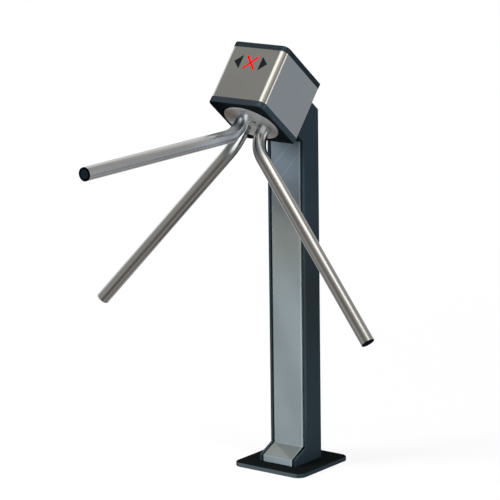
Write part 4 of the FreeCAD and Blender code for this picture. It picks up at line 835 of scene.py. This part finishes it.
class TURNSTILE_OT_works(bpy.types.Operator):
    """Finish the mechanism, the boards and the fixings inside"""

    bl_idname = "turnstile.works"
    bl_label = "Works"

    def execute(self, context):
        zinc = finish("zinc plate", (0.55, 0.56, 0.57), metal=1.0, rough=0.35, grain=90, swing=0.12)
        spring = finish("spring steel", (0.20, 0.21, 0.23), metal=1.0, rough=0.35, grain=200)
        ground = finish("bearing steel", (0.55, 0.56, 0.58), metal=1.0, rough=0.15, grain=500, swing=0.03)
        black = finish("black oxide steel", (0.015, 0.015, 0.018), metal=0.6, rough=0.45, grain=300)
        cast = finish("cast aluminium", (0.45, 0.46, 0.47), metal=1.0, rough=0.45, grain=700, bump=0.2)
        board = finish("solder resist", (0.01, 0.09, 0.03), rough=0.3, grain=150, swing=0.2)
        dark = finish("black moulding", (0.012, 0.012, 0.013), rough=0.5, grain=1200, bump=0.06)
        white = finish("white moulding", (0.75, 0.75, 0.72), rough=0.5, grain=1200)
        green = finish("green moulding", (0.02, 0.18, 0.05), rough=0.45, grain=1200)
        brass = finish("turned brass", (0.52, 0.34, 0.08), metal=1.0, rough=0.28, grain=400)
        copper = finish(
            "wound copper", (0.36, 0.09, 0.03), metal=1.0, rough=0.35, grain=30, bump=0.6, space=head_space,
            stretch=(1, 90, 1),
        )
        dress(
            zinc, "panel_rails", "neck_flange", "head_bolts", "head_nuts", "board_screws", "cap_posts",
            "chassis", "tie_rods", "housing_screws", "index_spring_screws", "sensor_bracket",
            "solenoid_frames", "arm_inserts", "arm_bolts", "sensor_disc", "disc_spacers",
        )
        dress(spring, "panel_clips", "bearing_circlips", "index_spring", "pawl_springs")
        dress(
            ground, "bearing_outer_rings", "bearing_inner_rings", "bearing_balls", "pawl_pins",
            "right_plunger", "left_plunger", "main_shaft", "shaft_key",
        )
        dress(black, "cap_screws", "right_pawl", "left_pawl", "shaft_nut", "lock_disc", "index_disc")
        dress(cast, "bearing_housings")
        dress(board, "display_board", "control_board")
        dress(dark, "board_relays", "position_sensors")
        dress(white, "light_modules")
        dress(green, "terminal_block")
        dress(brass, "board_spacers")
        dress(copper, "solenoid_coils")
        return {"FINISHED"}


AIM = (0.0, -0.15, 0.85)  # the head's underside, which most lamps point at
# Each lamp's name, place, what it points at, width, height, power, colour, and whether it lights gloss alone
# (shine) or matt surfaces alone (shade)
LAMPS = (
    ("top", (0.52, -0.57, 10.0), (0.52, -0.57, 0.0), 11.5, 11.5, 1630.0, (1.0, 0.985, 0.94), "shine"),
    ("key", (-2.26, -2.41, 2.01), AIM, 1.6, 1.6, 150.0, (0.97, 0.99, 1.0), "shade"),
    ("fill", (2.85, -0.65, 1.63), AIM, 1.4, 1.4, 60.0, (0.93, 0.97, 1.0), "shade"),
    ("left", (-2.87, 0.36, 1.58), AIM, 1.6, 1.6, 13.5, (1.0, 0.98, 0.97), "shine"),
    ("rim", (-0.67, 2.35, 2.73), AIM, 3.2, 1.2, 13.0, (1.0, 1.0, 1.0), "shine"),
    ("strip", (2.66, 1.17, 1.16), AIM, 0.7, 1.6, 16.0, (1.0, 0.96, 0.95), "shine"),
    ("warm", (2.16, -0.94, 2.78), AIM, 1.3, 1.3, 5.0, (1.0, 0.92, 0.68), "shine"),
    ("cool", (2.13, 2.68, 0.23), AIM, 2.6, 1.0, 3.0, (0.27, 0.6, 1.0), "shine"),
)

FLOOR_HALF = 30.0  # half the floor's width
FLOOR_GLOW = 0.7  # share of a white glow where the floor is seen, the rest is the floor with its shadow
# A distance, and the glow's strength at 0 and there, by which glow and floor together are white
FLOOR_REACH, FLOOR_NEAR, FLOOR_FAR = 3.5, 1.245, 1.39
SKY_LIGHT = 0.15  # strength of the sky as a light
SENSOR_WIDTH = 36.0  # in millimetres
VIEW_END = 100.0  # furthest that the camera sees


class TURNSTILE_OT_stage(bpy.types.Operator):
    """Lay the floor, light the studio and place the camera"""

    bl_idname = "turnstile.stage"
    bl_label = "Stage"

    def execute(self, context):
        scene = context.scene
        studio = scene.turnstile_studio
        scene.view_settings.view_transform = "Standard"
        self.floor(context, studio)
        self.sky(scene)
        self.lamps(context)
        self.camera(context, studio)
        return {"FINISHED"}

    @staticmethod
    def seen_white(tree):
        """1 for a ray that sees the background, straight or in a reflection; 0 for light on the object."""
        rays = node(tree, "LightPath").outputs
        seen = reckon(tree, "MAXIMUM", rays["Is Camera Ray"], rays["Is Glossy Ray"])
        return reckon(tree, "MAXIMUM", seen, rays["Is Transmission Ray"])

    def floor(self, context, studio):
        """A wide floor that is seen white and takes a soft shadow."""
        bm = bmesh.new()
        bmesh.ops.create_grid(bm, x_segments=1, y_segments=1, size=FLOOR_HALF)
        mesh = bpy.data.meshes.new("studio_floor")
        bm.to_mesh(mesh)
        bm.free()
        floor = bpy.data.objects.new("studio_floor", mesh)
        context.scene.collection.objects.link(floor)
        material, tree, shader = shader_of("studio floor")
        shader.inputs["Base Color"].default_value = (*studio.floor, 1.0)
        shader.inputs["Roughness"].default_value = 0.9
        shader.inputs["Specular IOR Level"].default_value = 0.0
        spot = node(tree, "VectorMath", operation="LENGTH")
        tree.links.new(node(tree, "TexCoord").outputs["Object"], spot.inputs[0])
        level = node(
            tree, "MapRange", Value=spot.outputs["Value"], From_Max=FLOOR_REACH, To_Min=FLOOR_NEAR,
            To_Max=FLOOR_FAR,
        )
        white = node(tree, "Emission", Strength=level.outputs[0])
        glow = reckon(tree, "MULTIPLY", self.seen_white(tree), FLOOR_GLOW)
        mix = node(tree, "MixShader", Fac=glow)
        tree.links.new(shader.outputs[0], mix.inputs[1])
        tree.links.new(white.outputs[0], mix.inputs[2])
        output = next(found for found in tree.nodes if found.type == "OUTPUT_MATERIAL")
        tree.links.new(mix.outputs[0], output.inputs["Surface"])
        mesh.materials.append(material)

    def sky(self, scene):
        """A world that is seen white and gives little light."""
        world = bpy.data.worlds.new("studio")
        scene.world = world
        world.use_nodes = True
        tree = world.node_tree
        sky = tree.nodes["Background"]
        level = node(tree, "MapRange", Value=self.seen_white(tree), To_Min=SKY_LIGHT, To_Max=1.0)
        tree.links.new(level.outputs[0], sky.inputs["Strength"])
        sky.inputs["Color"].default_value = (1, 1, 1, 1)

    def lamps(self, context):
        """The lamps round the object, each for gloss or for matt surfaces."""
        for name, place, aim, width, height, power, tone, use in LAMPS:
            light = bpy.data.lights.new(name, "AREA")
            light.shape = "ELLIPSE" if name == "top" else "RECTANGLE"
            light.size = width
            light.size_y = height
            light.energy = power
            light.color = tone
            lamp = bpy.data.objects.new(name, light)
            lamp.location = place
            lamp.rotation_mode = "QUATERNION"
            lamp.rotation_quaternion = (Vector(aim) - Vector(place)).to_track_quat("-Z", "Y")
            lamp.visible_glossy = use == "shine"
            lamp.visible_diffuse = use == "shade"
            context.scene.collection.objects.link(lamp)

    def camera(self, context, studio):
        """The camera, turned, raised and leant as the studio's settings say."""
        turn, rise = studio.azimuth, studio.elevation
        ahead = Vector((-math.sin(turn) * math.cos(rise), math.cos(turn) * math.cos(rise), -math.sin(rise)))
        right = Vector((math.cos(turn), math.sin(turn), 0))
        down = ahead.cross(right)
        lean = math.cos(studio.roll) * right + math.sin(studio.roll) * down
        up = math.sin(studio.roll) * right - math.cos(studio.roll) * down
        lens = bpy.data.cameras.new("camera")
        lens.sensor_width = SENSOR_WIDTH
        lens.lens = studio.lens
        lens.clip_end = VIEW_END
        camera = bpy.data.objects.new("camera", lens)
        place = Matrix((lean, up, -ahead)).transposed().to_4x4()
        place.translation = Vector(studio.target) - ahead * studio.distance
        camera.matrix_world = place
        context.scene.collection.objects.link(camera)
        context.scene.camera = camera


class TURNSTILE_PT_sidebar(bpy.types.Panel):
    """Sizes and colours of the turnstile, and the steps that make it"""

    bl_idname = "TURNSTILE_PT_sidebar"
    bl_label = "Tripod turnstile"
    bl_space_type = "VIEW_3D"
    bl_region_type = "UI"
    bl_category = "Turnstile"

    def draw(self, context):
        for name in GROUPS:
            group = getattr(context.scene, name)
            box = self.layout.box()
            for field in group.__annotations__:
                box.prop(group, field)
        for step in STEPS:
            self.layout.operator(step.bl_idname)


GROUPS = {
    "turnstile_stand": StandSizes,
    "turnstile_head": HeadSizes,
    "turnstile_arms": ArmSizes,
    "turnstile_finishes": Finishes,
    "turnstile_studio": Studio,
}
STEPS = (
    TURNSTILE_OT_stage,
    TURNSTILE_OT_base,
    TURNSTILE_OT_post,
    TURNSTILE_OT_panel,
    TURNSTILE_OT_head,
    TURNSTILE_OT_hub,
    TURNSTILE_OT_arms,
    TURNSTILE_OT_works,
)
CLASSES = (*GROUPS.values(), *STEPS, TURNSTILE_PT_sidebar)


def register():
    """Add the classes and the scene's settings."""
    for cls in CLASSES:
        bpy.utils.register_class(cls)
    for name, group in GROUPS.items():
        setattr(bpy.types.Scene, name, bpy.props.PointerProperty(type=group))


def unregister():
    """Take the classes and the scene's settings away."""
    for name in GROUPS:
        delattr(bpy.types.Scene, name)
    for cls in reversed(CLASSES):
        bpy.utils.unregister_class(cls)


def main():
    """Make every piece."""
    register()
    bpy.ops.turnstile.stage()
    bpy.ops.turnstile.base()
    bpy.ops.turnstile.post()
    bpy.ops.turnstile.panel()
    bpy.ops.turnstile.head()
    bpy.ops.turnstile.hub()
    bpy.ops.turnstile.arms()
    bpy.ops.turnstile.works()


if __name__ == "__main__":
    main()
